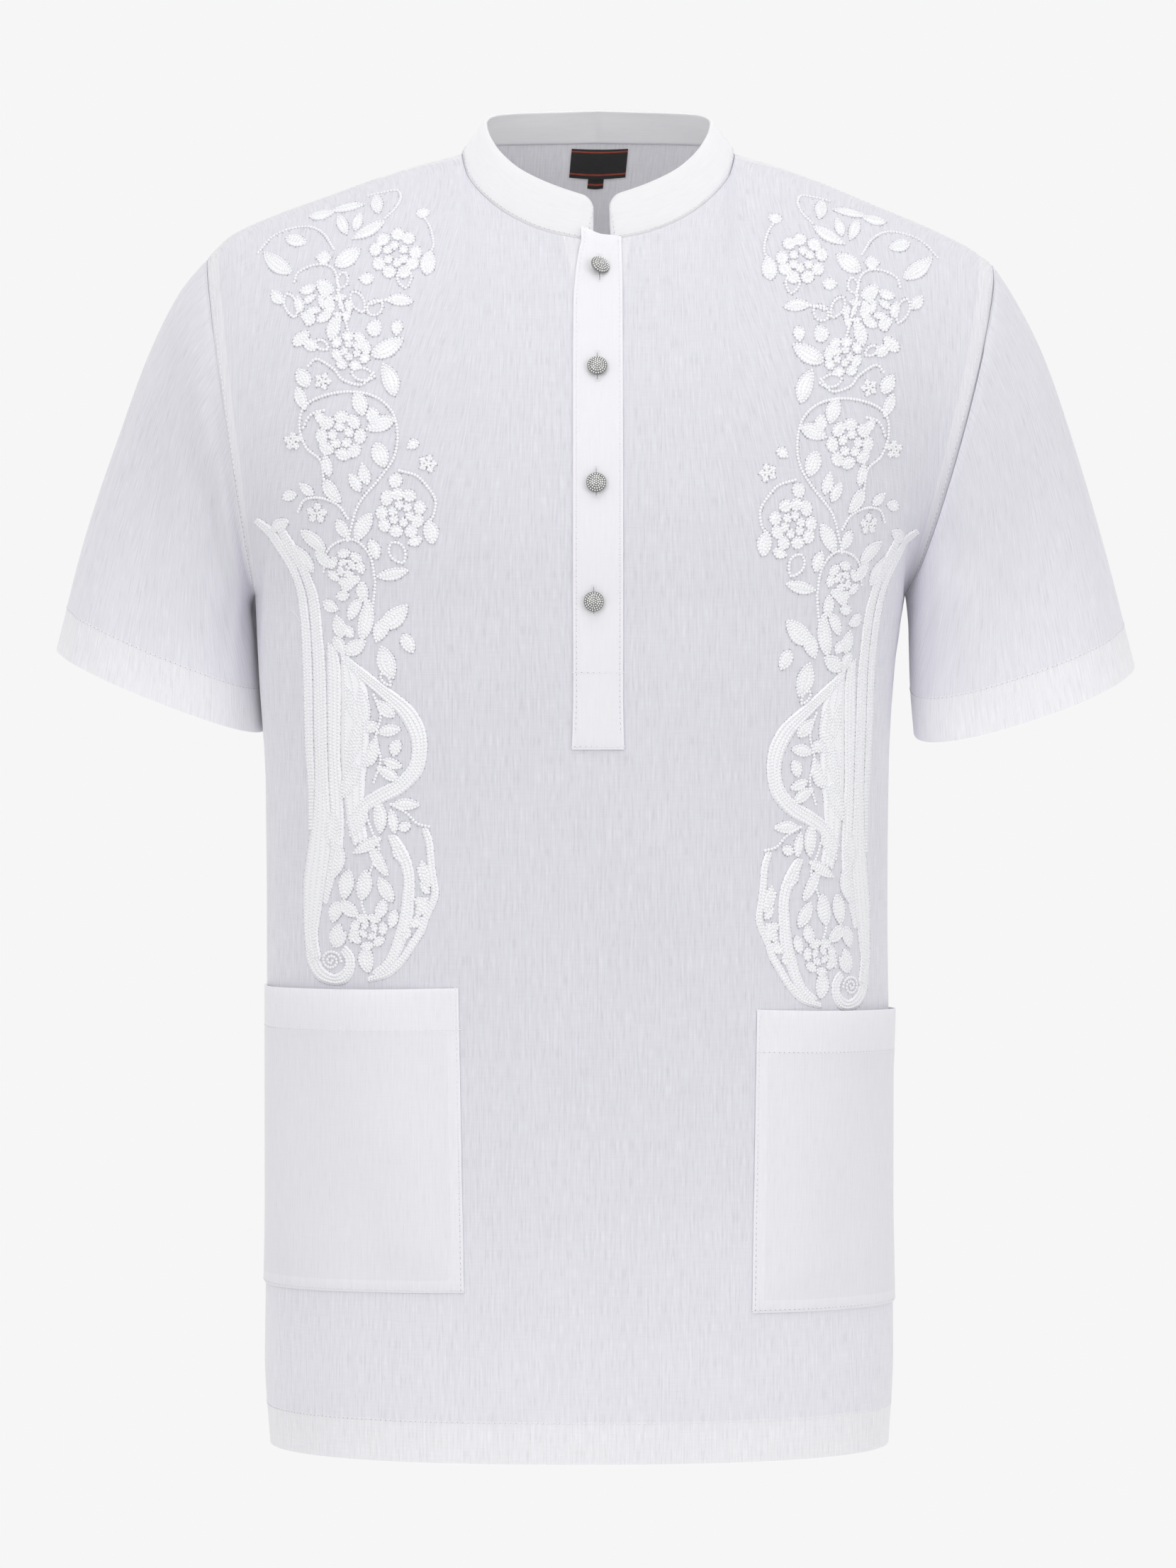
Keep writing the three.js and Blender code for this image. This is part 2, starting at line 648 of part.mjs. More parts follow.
const shoulderColumn = (c) => Math.abs(c - LAST) >= NECK_COLUMN;
const body = { sides: true, last: shoulderColumn };
const frontCut = pullBack(front, body);
const backCut = pullBack(back, body);

const SLIT_CUTTER = { deep: 60, tall: 300, y: -110 };
const slit = new THREE.BoxGeometry(2 * SLIT_HALF, SLIT_CUTTER.deep, SLIT_CUTTER.tall);
slit.translate(0, SLIT_CUTTER.y, SLIT_END_Z + SLIT_CUTTER.tall / 2);
for (const name of ["normal", "uv"]) slit.deleteAttribute(name);
const frontWall = solid(wallGeometry(frontCut, () => 0, (r) => -hemWall(r)));
add("front", geometryOf(frontWall.subtract(solid(mergeVertices(slit)))), cottonPly);
add("back", wallGeometry(backCut, () => 0, (r) => -hemWall(r)), cottonPly);

for (const side of SIDES) {
  const cut = pullBack(sleeves[side], { first: () => true });
  const cuffWall = (r) => (SLEEVE_ROWS[r] >= CUFF_SHARE ? FOLDED : CLOTH);
  add(`sleeve_${side}`, wallGeometry(cut, () => 0, (r) => -cuffWall(r)), cottonPly);
}

// The collar: a band from its left front end round the back to its right front end, with its
// upper front corners rounded off.
const COLLAR_STEPS = [0, 1.2, 3, 5.5, 8, 14, 22, 32, 43, 55, 67, 79, 90]; // degrees from an end
const COLLAR_LEVELS = [0, 0.35, 0.7, 1];
function collarGrid() {
  const turnAt = (x) => THREE.MathUtils.radToDeg(Math.asin(x / NECK.half));
  const [fromLeft, fromRight] = [-turnAt(COLLAR_ENDS.left), turnAt(COLLAR_ENDS.right)];
  const turns = [];
  for (const step of COLLAR_STEPS) turns.push({ turn: -(fromLeft + step), step });
  for (let turn = -102; turn >= -180; turn -= 13) turns.push({ turn, step: 90 });
  for (let turn = 167; turn >= 102; turn -= 13) turns.push({ turn, step: 90 });
  for (const step of [...COLLAR_STEPS].reverse()) turns.push({ turn: fromRight + step, step });
  return COLLAR_LEVELS.map((level) =>
    turns.map(({ turn, step }) => {
      const [low, high] = [seamPoint(turn), neckPoint(turn, "top")];
      const along = Math.min(rad(step) * NECK.half, COLLAR_CORNER);
      const drop = COLLAR_CORNER - Math.sqrt(COLLAR_CORNER ** 2 - (COLLAR_CORNER - along) ** 2);
      const tall = low.distanceTo(high);
      const rise = COLLAR_GAP + (tall - drop * level - COLLAR_GAP) * level;
      return low.lerp(high, rise / tall);
    }),
  );
}
const collar = sheet(collarGrid(), false, true);
add("collar", wallGeometry(collar, () => 0, () => -BAND), cottonBand);

// The placket: an outer strip on the front and an inner one behind it.
const placketRows = [LOW_ROWS.indexOf(PLACKET_END_Z), topRow];
const placketTuck = (r, c) => {
  const near = THREE.MathUtils.smoothstep(r, chestRow + PLACKET_TUCK.from, topRow);
  return [r, c < LAST ? c + PLACKET_TUCK.most * near * (LAST - c) : c];
};
const overStrip = patch(
  front,
  [placketRows[0], topRow - PLACKET_TOP],
  [LAST - 1, LAST + 1],
  placketTuck,
);
add(
  "placket_over",
  wallGeometry(overStrip, () => LAY_GAP + BAND, () => LAY_GAP),
  cottonBand,
);
const underStrip = patch(
  front,
  [placketRows[0] + PLACKET_UNDER_END, topRow - PLACKET_TOP],
  [LAST - 1, LAST + 1],
);
add(
  "placket_under",
  wallGeometry(underStrip, () => -CLOTH - LAY_GAP, () => -CLOTH - LAY_GAP - CLOTH),
  cottonBand,
);

// The fractional row of the body at a height below the chest.
function rowAt(z) {
  let r = 0;
  while (LOW_ROWS[r + 1] < z) r += 1;
  return r + (z - LOW_ROWS[r]) / (LOW_ROWS[r + 1] - LOW_ROWS[r]);
}

// The pockets, from the side seam to their inner edge.
for (const side of SIDES) {
  const { top, bottom, raised, lean } = POCKET[side];
  const inner = POCKET_COLUMN[side];
  const columns = side === "left" ? [0, LAST - inner] : [LAST + inner, 2 * LAST];
  const [edge, inward] = side === "left" ? [columns[1], 1] : [columns[0], -1];
  const columnWide = frontCut.grid[0][edge].distanceTo(frontCut.grid[0][edge + inward]);
  const move = (r, c) => {
    const z = LOW_ROWS[r];
    const down = (top - z) / (top - bottom);
    const nearness = 1 - Math.abs(c - edge) / (columns[1] - columns[0]);
    const shift = c === edge ? (inward * lean * down) / columnWide : 0;
    return [rowAt(z + lerp(raised.top, raised.bottom, down) * nearness), c + shift];
  };
  const lie = patch(frontCut, [LOW_ROWS.indexOf(bottom), LOW_ROWS.indexOf(top)], columns, move);
  add(`pocket_${side}`, wallGeometry(lie, () => LAY_GAP + CLOTH, () => LAY_GAP), cottonBand);
}

// A domed button with its shank: foot of the shank, back face, rim and dome.
function buttonGeometry() {
  const { radius, rim, dome, foot, shank, stand } = BUTTON;
  const profile = [
    [0, -stand],
    [shank, -stand],
    [shank, 0],
    [foot, 0],
    [radius, rim * 0.45],
    [radius, rim],
  ].map(([r, h]) => new THREE.Vector2(r, h));
  for (const degrees of [25, 50, 72]) {
    const at = rad(degrees);
    profile.push(new THREE.Vector2(radius * Math.cos(at), rim + dome * Math.sin(at)));
  }
  profile.push(new THREE.Vector2(0, rim + dome));
  const turned = new THREE.LatheGeometry(profile, 16);
  turned.deleteAttribute("normal");
  turned.deleteAttribute("uv");
  turned.rotateX(Math.PI / 2); // its axis now points along +Z
  return mergeVertices(turned, 1e-3);
}

// The place on the placket's centre line at one height, and the way out of it.
function placketPlace(z) {
  let r = placketRows[0];
  while (front.grid[r + 1][LAST].z < z) r += 1;
  const [low, high] = [front.grid[r][LAST], front.grid[r + 1][LAST]];
  const share = (z - low.z) / (high.z - low.z);
  const out = vec(0, low.z - high.z, high.y - low.y).normalize();
  return { point: low.clone().lerp(high, share), out };
}

BUTTON_ROWS.forEach(({ x, z, turn }, i) => {
  const { point, out } = placketPlace(z);
  const lean = Math.max(BUTTON.foot * Math.sin(rad(turn)) - BUTTON.stand, 0);
  const lift = LAY_GAP + BAND + BUTTON.clear + BUTTON.stand + lean;
  const mesh = add(`button_${i + 1}`, buttonGeometry(), silverMetal);
  mesh.position.copy(point).addScaledVector(out, lift);
  mesh.position.x += x;
  mesh.quaternion.setFromUnitVectors(vec(0, 0, 1), out);
  mesh.rotateY(rad(turn));
});

// The woven label and its size tab, on the inside of the back under the collar seam.
function labelPatch(from, to, down, tall, lift) {
  const top = back.grid[topRow];
  const neckStep = top[LAST].distanceTo(back.grid[topRow - 1][LAST]);
  const columnAt = (x) => {
    let c = LAST - 2;
    while (top[c + 1].x > x) c += 1;
    return c + (top[c].x - x) / (top[c].x - top[c + 1].x);
  };
  const rows = [topRow - (down + tall) / neckStep, topRow - down / neckStep];
  const lie = patch(back, rows, [columnAt(to), columnAt(from)]);
  return [lie, () => -CLOTH - LABEL_GAP, () => -CLOTH - LABEL_GAP - lift];
}
add(
  "neck_label",
  wallGeometry(...labelPatch(LABEL.from, LABEL.to, LABEL.down, LABEL.tall, LABEL.thick)),
  wovenLabel,
);
add(
  "size_tab",
  wallGeometry(
    ...labelPatch(
      SIZE_TAB.from,
      SIZE_TAB.to,
      LABEL.down + LABEL.tall + LAY_GAP,
      SIZE_TAB.tall,
      SIZE_TAB.thick,
    ),
  ),
  wovenLabel,
);

export default garment;
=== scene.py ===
import math
import random

import bmesh
import bpy
import numpy as np
from bpy.props import FloatProperty, FloatVectorProperty, PointerProperty
from mathutils import Matrix, Vector


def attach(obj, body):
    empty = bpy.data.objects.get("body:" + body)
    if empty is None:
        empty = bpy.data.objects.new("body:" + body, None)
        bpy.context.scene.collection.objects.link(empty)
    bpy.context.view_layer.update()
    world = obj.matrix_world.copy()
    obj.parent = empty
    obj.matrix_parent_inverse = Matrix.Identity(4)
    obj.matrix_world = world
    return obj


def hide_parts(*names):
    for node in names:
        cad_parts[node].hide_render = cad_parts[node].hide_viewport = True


bl_info = {
    "name": "Fatua Tunic",
    "version": (1, 0, 0),
    "blender": (4, 5, 0),
    "location": "View3D > Sidebar > Fatua",
    "description": "Makes the cloth, stitching, embroidery and buttons of a short cotton fatua",
    "category": "Object",
}

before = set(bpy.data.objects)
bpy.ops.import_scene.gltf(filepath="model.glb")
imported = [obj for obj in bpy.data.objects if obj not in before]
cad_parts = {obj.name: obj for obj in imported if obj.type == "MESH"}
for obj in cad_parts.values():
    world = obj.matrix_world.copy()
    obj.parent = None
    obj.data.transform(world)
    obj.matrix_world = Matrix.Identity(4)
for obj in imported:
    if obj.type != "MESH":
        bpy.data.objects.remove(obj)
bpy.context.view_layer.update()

# Lengths are millimetres until a mesh is made. +X is the wearer's left, the front faces -Y.
MM = 0.001

# ---- the body's form ------------------------------------------------------------------------


def table(names, *rows):
    """A table with named columns."""
    return {name: np.array([row[i] for row in rows], float) for i, name in enumerate(names.split())}


BODY = table(
    "z left right front back square",
    (-748, -192, 170, -131, 120, 2.4),
    (-700, -195, 172, -133, 122, 2.45),
    (-600, -193.5, 169, -135, 124, 2.45),
    (-450, -193.5, 167.5, -138, 126, 2.4),
    (-364, -194, 169, -139, 128, 2.4),
    (-300, -197.8, 172.5, -138.5, 130, 2.4),
    (-253, -200, 179, -136, 131, 2.4),
)
NECK_RISE = table(
    "turn seam top",
    (0, -48, -23),
    (22, -42, -15),
    (42, -31.5, -6),
    (57, -21, 3),
    (73, -9.5, 13.5),
    (90, 4, 22.5),
    (120, 9, 27.5),
    (180, 11, 30),
)
SHOULDER = table(
    "share left right",
    (0, 4, 4),
    (0.25, -7, -8.5),
    (0.5, -20, -24),
    (0.75, -33.5, -39.5),
    (0.9, -44, -50.5),
    (1, -58, -61),
)
NECK_COLUMNS = table(
    "chest neck tilt slack",
    (0, 0, 38, 0.95),
    (0.0545, 10.4, 40, 0.96),
    (0.108, 25, 45, 1),
    (0.158, 41, 54, 1.05),
    (0.208, 58, 66, 1.12),
    (0.26, 74, 78, 1.2),
    (0.315, 90, 86, 1.25),
)
SHOULDER_COLUMNS = table(
    "chest shoulder tilt slack",
    (0.315, 0, 86, 1.25),
    (0.363, 0.08, 88, 1.22),
    (0.46, 0.2, 90, 1.12),
    (0.54, 0.32, 90, 1.03),
    (0.62, 0.44, 90, 0.96),
    (0.7, 0.56, 90, 0.9),
    (0.78, 0.67, 90, 0.85),
    (0.86, 0.78, 90, 0.82),
    (0.93, 0.89, 90, 0.8),
    (1, 1, 90, 0.8),
)
SLEEVE = {
    "left": table(
        "at outX outZ underX underZ y front back dip hug",
        (0, -228, -58, -200, -253, -3, 62, 68, 0, 0),
        (0.12, -243, -76, -202.5, -261, 1, 64, 66, 0, 4),
        (0.3, -261, -110, -201.3, -270, 12, 65, 65, 1, 9),
        (0.5, -280, -160, -199.8, -284, 19, 64, 64, 3, 9),
        (0.75, -301, -222, -198, -304, 23, 62, 62, 3, 7),
        (1, -317.5, -286, -195.5, -333, 25, 61, 61, 5, 6),
    ),
    "right": table(
        "at outX outZ underX underZ y front back dip hug",
        (0, 229, -61, 179, -253, -3, 62, 68, 0, 0),
        (0.12, 240, -77, 180, -261, 0, 64, 66, 1, 0),
        (0.3, 258, -111, 181, -272, 2, 65, 65, 3, 0),
        (0.5, 276, -161, 181.5, -287, 4, 64, 64, 6, 0),
        (0.75, 295, -224, 182.3, -308, 6, 62, 62, 6, 0),
        (1, 313.5, -295, 184.5, -335, 7, 61, 61, 10, 0),
    ),
}

BODY_Y = -4
HEM_Z = -748
CHEST_Z = -253
NECK = {"half": 79.5, "front": 62, "back": 60}
COLLAR_TOP = {"half": 66, "front": 49.5, "back": 42}
COLLAR_ENDS = (-3, 7)
COLLAR_CORNER = 8
TIP = {"left": (-228, 0, -58), "right": (229, 0, -61)}
ARMHOLE = {"front": 62, "back": 68}
ARMHOLE_BOW = {"left": 1, "right": 7}
ARMHOLE_FADE = 3
NECK_CHEST = 0.315  # share of the way to the side seam where the neck point lies
SLEEVE_SQUARE = 2.7
PLACKET_HALF = 14.3
HEM_SHOWN = 24.5  # depth of the turned hem as it shows through
PLACKET_END_Z = -337
PLACKET_BOX_Z = -293
SLIT_END_Z = -328
# The pockets: heights at the side seam, the inner edge's share of the way to the side, how much
# higher the inner corners lie at the top and the bottom, and the inner edge's lean on the way down.
POCKET = {
    "left": {"top": -479.5, "bottom": -653.5, "inner": 0.315, "raised": (5.5, 4.3), "lean": 3.2},
    "right": {"top": -494.9, "bottom": -665, "inner": 0.363, "raised": (7.7, 3.3), "lean": 3.4},
}
# Each button's place across and its height, and how far it is turned, in degrees.
BUTTON_ROWS = ((0.7, -62.6, 24), (-0.7, -119.3, 0), (-1.3, -185.2, 0), (-2.7, -252.6, 0))
CAMERA_AIM = (-0.006, 0.0, -0.364)  # metres
CAMERA_AWAY = 6.0  # metres
CAMERA_RISE = 3.0  # degrees above level
CAMERA_LENS = 157.2
SENSOR_TALL = 24.0
SWEEP_RADIUS = 8.5  # metres
PAPER_BEFORE = 0.79  # the paper's light on the camera's side, as a share of that behind the tunic

# Folds and creases. at: share across the panel, -1 to 1, or degrees round a sleeve from its outer
# edge. low, high: heights, or shares down a sleeve. wide: in the unit of at. deep: millimetres.
# lean: how far at moves from one end to the other.
FOLD_NAMES = "at low high wide deep lean"
FOLDS = {
    "front": table(
        FOLD_NAMES,
        (-0.82, -735, -330, 0.09, 2.6, 0),
        (-0.52, -748, -560, 0.08, -1.8, 0),
        (0.16, -748, -600, 0.1, 1.6, 0),
        (0.6, -748, -540, 0.08, -2, 0),
        (0.86, -740, -340, 0.08, 2.4, 0),
        (-0.7, -330, -150, 0.09, -2.2, 0),
        (0.68, -320, -150, 0.09, -2.2, 0),
        # creases
        (-0.93, -500, -370, 0.022, -1.3, 0.12),
        (-0.6, -420, -300, 0.03, -0.8, 0.05),
        (-0.3, -760, -655, 0.035, -1.1, 0.03),
        (-0.12, -470, -390, 0.025, -0.6, -0.03),
        (0.1, -560, -430, 0.035, -0.8, 0.04),
        (0.33, -762, -668, 0.03, -1.2, -0.02),
        (0.75, -470, -340, 0.03, -1.0, -0.05),
        (0.94, -420, -280, 0.02, -1.4, -0.08),
        (-0.9, -300, -205, 0.03, -1.6, 0.16),
        (0.9, -300, -200, 0.03, -1.6, -0.16),
        (-0.45, -220, -120, 0.04, -0.9, -0.08),
        (0.5, -230, -110, 0.04, -1.0, 0.1),
    ),
    "back": table(
        FOLD_NAMES,
        (-0.75, -748, -320, 0.1, 3.4, 0),
        (-0.4, -748, -430, 0.09, -3, 0),
        (-0.08, -748, -380, 0.1, 3, 0),
        (0.3, -748, -450, 0.09, -3.2, 0),
        (0.72, -748, -330, 0.1, 3.4, 0),
        (-0.62, -300, -120, 0.1, 2.6, 0),
        (0.6, -300, -120, 0.1, 2.6, 0),
        # creases
        (-0.9, -520, -380, 0.025, -1.4, 0.1),
        (-0.55, -640, -480, 0.035, -1.2, -0.05),
        (-0.25, -765, -640, 0.035, -1.3, 0.04),
        (-0.2, -330, -190, 0.04, -1.2, 0.1),
        (0.12, -600, -450, 0.04, -1.0, 0.05),
        (0.2, -300, -150, 0.045, -1.3, -0.1),
        (0.5, -760, -620, 0.035, -1.4, -0.04),
        (0.55, -470, -330, 0.035, -1.1, 0.06),
        (0.92, -450, -310, 0.025, -1.5, -0.08),
        (-0.85, -260, -170, 0.035, -1.5, 0.14),
        (0.85, -265, -165, 0.035, -1.5, -0.14),
        (0.0, -110, -40, 0.05, -0.8, 0.04),
    ),
    "sleeve_left": table(
        FOLD_NAMES,
        (34, 0.3, 1.05, 9, 2.6, 0),
        (58, 0.22, 0.9, 10, -2.2, 0),
        (84, 0.3, 0.95, 10, 2.4, 0),
        (250, 0.25, 1, 12, -2.6, 0),
        (300, 0.3, 1.05, 12, 2.8, 0),
        # creases
        (20, 0.35, 0.98, 5, -1.2, 3),
        (46, 0.08, 0.72, 5, -1.5, -10),
        (72, 0.35, 0.92, 5, -1.6, 8),
        (100, 0.02, 0.5, 7, -2.2, 16),
        (122, 0.3, 0.95, 6, -1.4, -6),
        (150, 0.05, 0.6, 8, -1.6, -12),
        (210, 0.1, 0.8, 8, -1.8, 14),
        (275, 0.15, 0.85, 6, -1.6, -8),
        (325, 0.3, 0.9, 6, -1.3, 6),
    ),
    "sleeve_right": table(
        FOLD_NAMES,
        (40, 0.3, 1.05, 10, 2.2, 0),
        (72, 0.2, 0.95, 12, -2.4, 0),
        (104, 0.35, 0.95, 10, 2, 0),
        (245, 0.25, 1, 12, -2.6, 0),
        (305, 0.3, 1.05, 12, 2.8, 0),
        # creases
        (24, 0.3, 0.95, 6, -1.3, -4),
        (56, 0.1, 0.8, 6, -1.6, 12),
        (88, 0.3, 0.98, 6, -1.5, -8),
        (112, 0.03, 0.5, 8, -2.2, -14),
        (140, 0.2, 0.85, 7, -1.5, 10),
        (205, 0.1, 0.7, 8, -1.7, -12),
        (268, 0.2, 0.9, 6, -1.5, 8),
        (330, 0.25, 0.85, 6, -1.3, -5),
    ),
}


def look(curve, key, at):
    """Every column of a table at values of its key, on smooth curves that don't overshoot."""
    x = curve[key]
    at = np.clip(np.asarray(at, float), x[0], x[-1])
    i = np.clip(np.searchsorted(x, at, side="right") - 1, 0, len(x) - 2)
    step = x[i + 1] - x[i]
    t = (at - x[i]) / step
    found = {}
    for name, y in curve.items():
        rise = np.diff(y) / np.diff(x)
        slope = np.concatenate([rise[:1], np.zeros(len(rise) - 1), rise[-1:]])
        both = rise[:-1] + rise[1:]
        same = rise[:-1] * rise[1:] > 0
        slope[1:-1] = np.where(same, 2 * rise[:-1] * rise[1:] / np.where(same, both, 1), 0)
        found[name] = (
            (2 * t**3 - 3 * t**2 + 1) * y[i]
            + (t**3 - 2 * t**2 + t) * slope[i] * step
            + (3 * t**2 - 2 * t**3) * y[i + 1]
            + (t**3 - t**2) * slope[i + 1] * step
        )
    return found


def signed(value, power):
    return np.sign(value) * np.abs(value) ** power


def smooth(low, high, value):
    """0 below low, 1 above high and an even slope between."""
    t = np.clip((value - low) / (high - low), 0, 1)
    return t * t * (3 - 2 * t)


def unit(vectors):
    return vectors / np.maximum(np.linalg.norm(vectors, axis=-1, keepdims=True), 1e-9)


def fold_height(folds, across, along):
    """How far the folds push the cloth out, at places given in their two units."""
    height = np.zeros(np.broadcast(across, along).shape)
    for at, low, high, wide, deep, lean in zip(*folds.values()):
        inside = np.clip((along - low) / (high - low), 0, 1)
        middle = at + lean * (inside - 0.5)
        height += deep * np.exp(-(((across - middle) / wide) ** 2)) * np.sin(np.pi * inside)
    return height


def section(z):
    """The closed section of the body at one height, with the cloth's length to each point."""
    size = {name: float(value) for name, value in look(BODY, "z", z).items()}
    middle = (size["left"] + size["right"]) / 2
    half = (size["right"] - size["left"]) / 2
    power = 2 / size["square"]
    start = math.asin(float(signed(-middle / half, 1 / power)))
    turn = start + np.radians(np.arange(0, 360.25, 0.5))
    s, c = np.sin(turn), np.cos(turn)
    depth = np.where(c > 0, BODY_Y - size["front"], size["back"] - BODY_Y)
    points = np.stack(
        [middle + half * signed(s, power), BODY_Y - depth * signed(c, power), np.full_like(s, z)],
        axis=-1,
    )
    steps = np.linalg.norm(np.diff(points, axis=0), axis=1)
    return points, np.concatenate([[0], np.cumsum(steps)])


def body_points(quarters, z):
    """Points of the body at one height. quarter: 0 centre front, 1 and -1 sides, 2 centre back."""
    points, lengths = section(z)
    at = np.mod(np.asarray(quarters, float) / 4, 1) * lengths[-1]
    return np.stack([np.interp(at, lengths, points[:, k]) for k in range(3)], axis=-1)


def neck_points(turn, edge):
    """Points of the collar seam or of the collar's upper edge, by degrees from the centre front."""
    size = NECK if edge == "seam" else COLLAR_TOP
    height = look(NECK_RISE, "turn", np.abs(turn))[edge]
    s, c = np.sin(np.radians(turn)), np.cos(np.radians(turn))
    depth = np.where(c > 0, size["front"], size["back"])
    return np.stack([size["half"] * s, -depth * c, height], axis=-1)


def armhole_points(face, side, share):
    """The armhole from the underarm (0) over the front or the back to the shoulder tip (1)."""
    sign = -1 if side == "left" else 1
    under = body_points([sign], CHEST_Z)[0]
    tip = np.array(TIP[side], float)
    swing = np.sin(np.pi * share)
    points = under + (tip - under) * ((1 - np.cos(np.pi * share)) / 2)[..., None]
    points[..., 1] += (-ARMHOLE["front"] if face == "front" else ARMHOLE["back"]) * swing
    points[..., 0] += sign * ARMHOLE_BOW[side] * swing
    return points


def yoke_points(face, side, chest, share):
    """Points above the chest. chest: share of the way to the side. share: of the way up."""
    sign = -1 if side == "left" else 1
    chest = np.asarray(chest, float)

    def bare(columns):
        near_neck = columns <= NECK_CHEST
        a = look(NECK_COLUMNS, "chest", columns)
        b = look(SHOULDER_COLUMNS, "chest", columns)
        turn = a["neck"] if face == "front" else 180 - a["neck"]
        x = sign * NECK["half"] + (TIP[side][0] - sign * NECK["half"]) * b["shoulder"]
        seam = np.stack([x, 0 * x, look(SHOULDER, "share", b["shoulder"])[side]], axis=-1)
        top = np.where(near_neck[:, None], neck_points(sign * turn, "seam"), seam)
        tilt = np.radians(np.where(near_neck, a["tilt"], b["tilt"]))
        slack = np.where(near_neck, a["slack"], b["slack"])
        low = body_points(sign * (columns if face == "front" else 2 - columns), CHEST_Z)
        now = tilt * share[:, None]
        sink = np.maximum((np.cos(now) - np.cos(tilt)) / (1 - np.cos(tilt)), 0)
        return np.stack(
            [
                low[:, 0] + (top[:, 0] - low[:, 0]) * share[:, None],
                top[:, 1] + (low[:, 1] - top[:, 1]) * sink**slack,
                low[:, 2] + (top[:, 2] - low[:, 2]) * np.sin(now) / np.sin(tilt),
            ],
            axis=-1,
        )

    edge = bare(np.array([1.0]))
    pull = armhole_points(face, side, share)[:, None, :] - edge
    return bare(chest) + pull * (chest**ARMHOLE_FADE)[:, None]


def panel_points(face, across, levels, shares):
    """Rows of a panel at heights below the chest, then at shares of the way above it. across runs
    from -1 to 1 towards +X on both panels, in the order of the columns."""
    across = np.asarray(across, float)
    quarter = across if face == "front" else np.where(across < 0, -2 - across, 2 - across)
    rows = [body_points(quarter, z) for z in levels]
    if len(shares):
        upper = np.zeros((len(shares), len(across), 3))
        for side, mine in (("left", across < 0), ("right", across >= 0)):
            if mine.any():
                upper[:, mine] = yoke_points(face, side, np.abs(across[mine]), np.array(shares))
        rows.extend(upper)
    return np.array(rows)


def normals_of(points, closed=False, flip=False):
    """The outward normal at every point of a grid. closed: the last column meets the first."""
    if closed:
        wide = np.concatenate([points[:, -1:], points, points[:, :1]], axis=1)
        across = (wide[:, 2:] - wide[:, :-2]) / 2
    else:
        across = np.gradient(points, axis=1)
    upward = np.gradient(points, axis=0)
    return unit(np.cross(across, upward)) * (-1 if flip else 1)


def lengths_along(points, axis):
    """The cloth's length from the first row (axis 0) or column (axis 1) to every point."""
    steps = np.linalg.norm(np.diff(points, axis=axis), axis=-1)
    start = np.zeros_like(np.take(steps, [0], axis=axis))
    return np.concatenate([start, np.cumsum(steps, axis=axis)], axis=axis)


# ---- meshes ---------------------------------------------------------------------------------


def new_object(name, mesh, material=None):
    piece = bpy.data.objects.new(name, mesh)
    bpy.context.scene.collection.objects.link(piece)
    if material is not None:
        mesh.materials.append(material)
    return piece


def size_of(name):
    """One of the sizes in the sidebar, in millimetres."""
    return round(getattr(bpy.context.scene.fatua_sizes, name) / MM, 4)


def shell(name, grid, thick, material, closed=False, flip=False, keep=None, turned=None):
    """A closed wall of cloth under a grid of points. keep says which of the grid's squares are
    there. turned is how far each point lies into the doubled cloth, in millimetres."""
    points, normals = grid["points"], grid["normals"]
    rows, columns = points.shape[:2]
    under = rows * columns
    spans = columns if closed else columns - 1
    there = np.ones((rows - 1, spans), bool) if keep is None else keep

    def at(r, c):
        return r * columns + c % columns

    faces = []
    for r, c in zip(*np.nonzero(there)):
        a, b, d, e = at(r, c), at(r, c + 1), at(r + 1, c + 1), at(r + 1, c)
        faces.append((a, b, d, e))
        faces.append((under + a, under + e, under + d, under + b))
        if r == 0 or not there[r - 1, c]:
            faces.append((a, under + a, under + b, b))
        if r == rows - 2 or not there[r + 1, c]:
            faces.append((e, d, under + d, under + e))
        left = there[r, c - 1] if c or closed else False
        right = there[r, (c + 1) % spans] if c < spans - 1 or closed else False
        if not left:
            faces.append((a, e, under + e, under + a))
        if not right:
            faces.append((b, under + b, under + d, d))
    if flip:
        faces = [face[::-1] for face in faces]
    flat = points.reshape(-1, 3)
    inner = flat - normals.reshape(-1, 3) * np.broadcast_to(thick, points.shape[:2]).reshape(-1, 1)
    both = np.concatenate([flat, inner]) * MM
    mesh = bpy.data.meshes.new(name)
    mesh.from_pydata(both.tolist(), [], faces)
    corner = np.zeros(len(mesh.loops), np.int32)
    mesh.loops.foreach_get("vertex_index", corner)
    places = np.tile(grid["uv"].reshape(-1, 2), (2, 1)) * MM
    layer = mesh.uv_layers.new(name="cloth")
    layer.data.foreach_set("uv", places[corner].astype(np.float32).ravel())
    if turned is not None:
        attribute = mesh.attributes.new("turned", "FLOAT", "POINT")
        values = np.tile(np.broadcast_to(turned, points.shape[:2]).reshape(-1), 2) * MM
        attribute.data.foreach_set("value", values.astype(np.float32))
    if keep is not None:
        made = bmesh.new()
        made.from_mesh(mesh)
        bmesh.ops.delete(made, geom=[v for v in made.verts if not v.link_faces], context="VERTS")
        made.to_mesh(mesh)
        made.free()
    mesh.shade_smooth()
    mesh.set_sharp_from_angle(angle=math.radians(52))
    return new_object(name, mesh, material)


def settle(piece, slot, *nodes):
    """The piece rides on the tunic and stands for CAD nodes, which it hides. slot is not used."""
    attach(piece, "root")
    if nodes:
        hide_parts(*nodes)
    return piece


def cut_piece(name, grid, thick, finish, slot, node, **wall):
    """A cut piece of cloth that stands for a CAD node."""
    return settle(shell(name, grid, thick, material_of(finish), **wall), slot, node)


# ---- materials ------------------------------------------------------------------------------


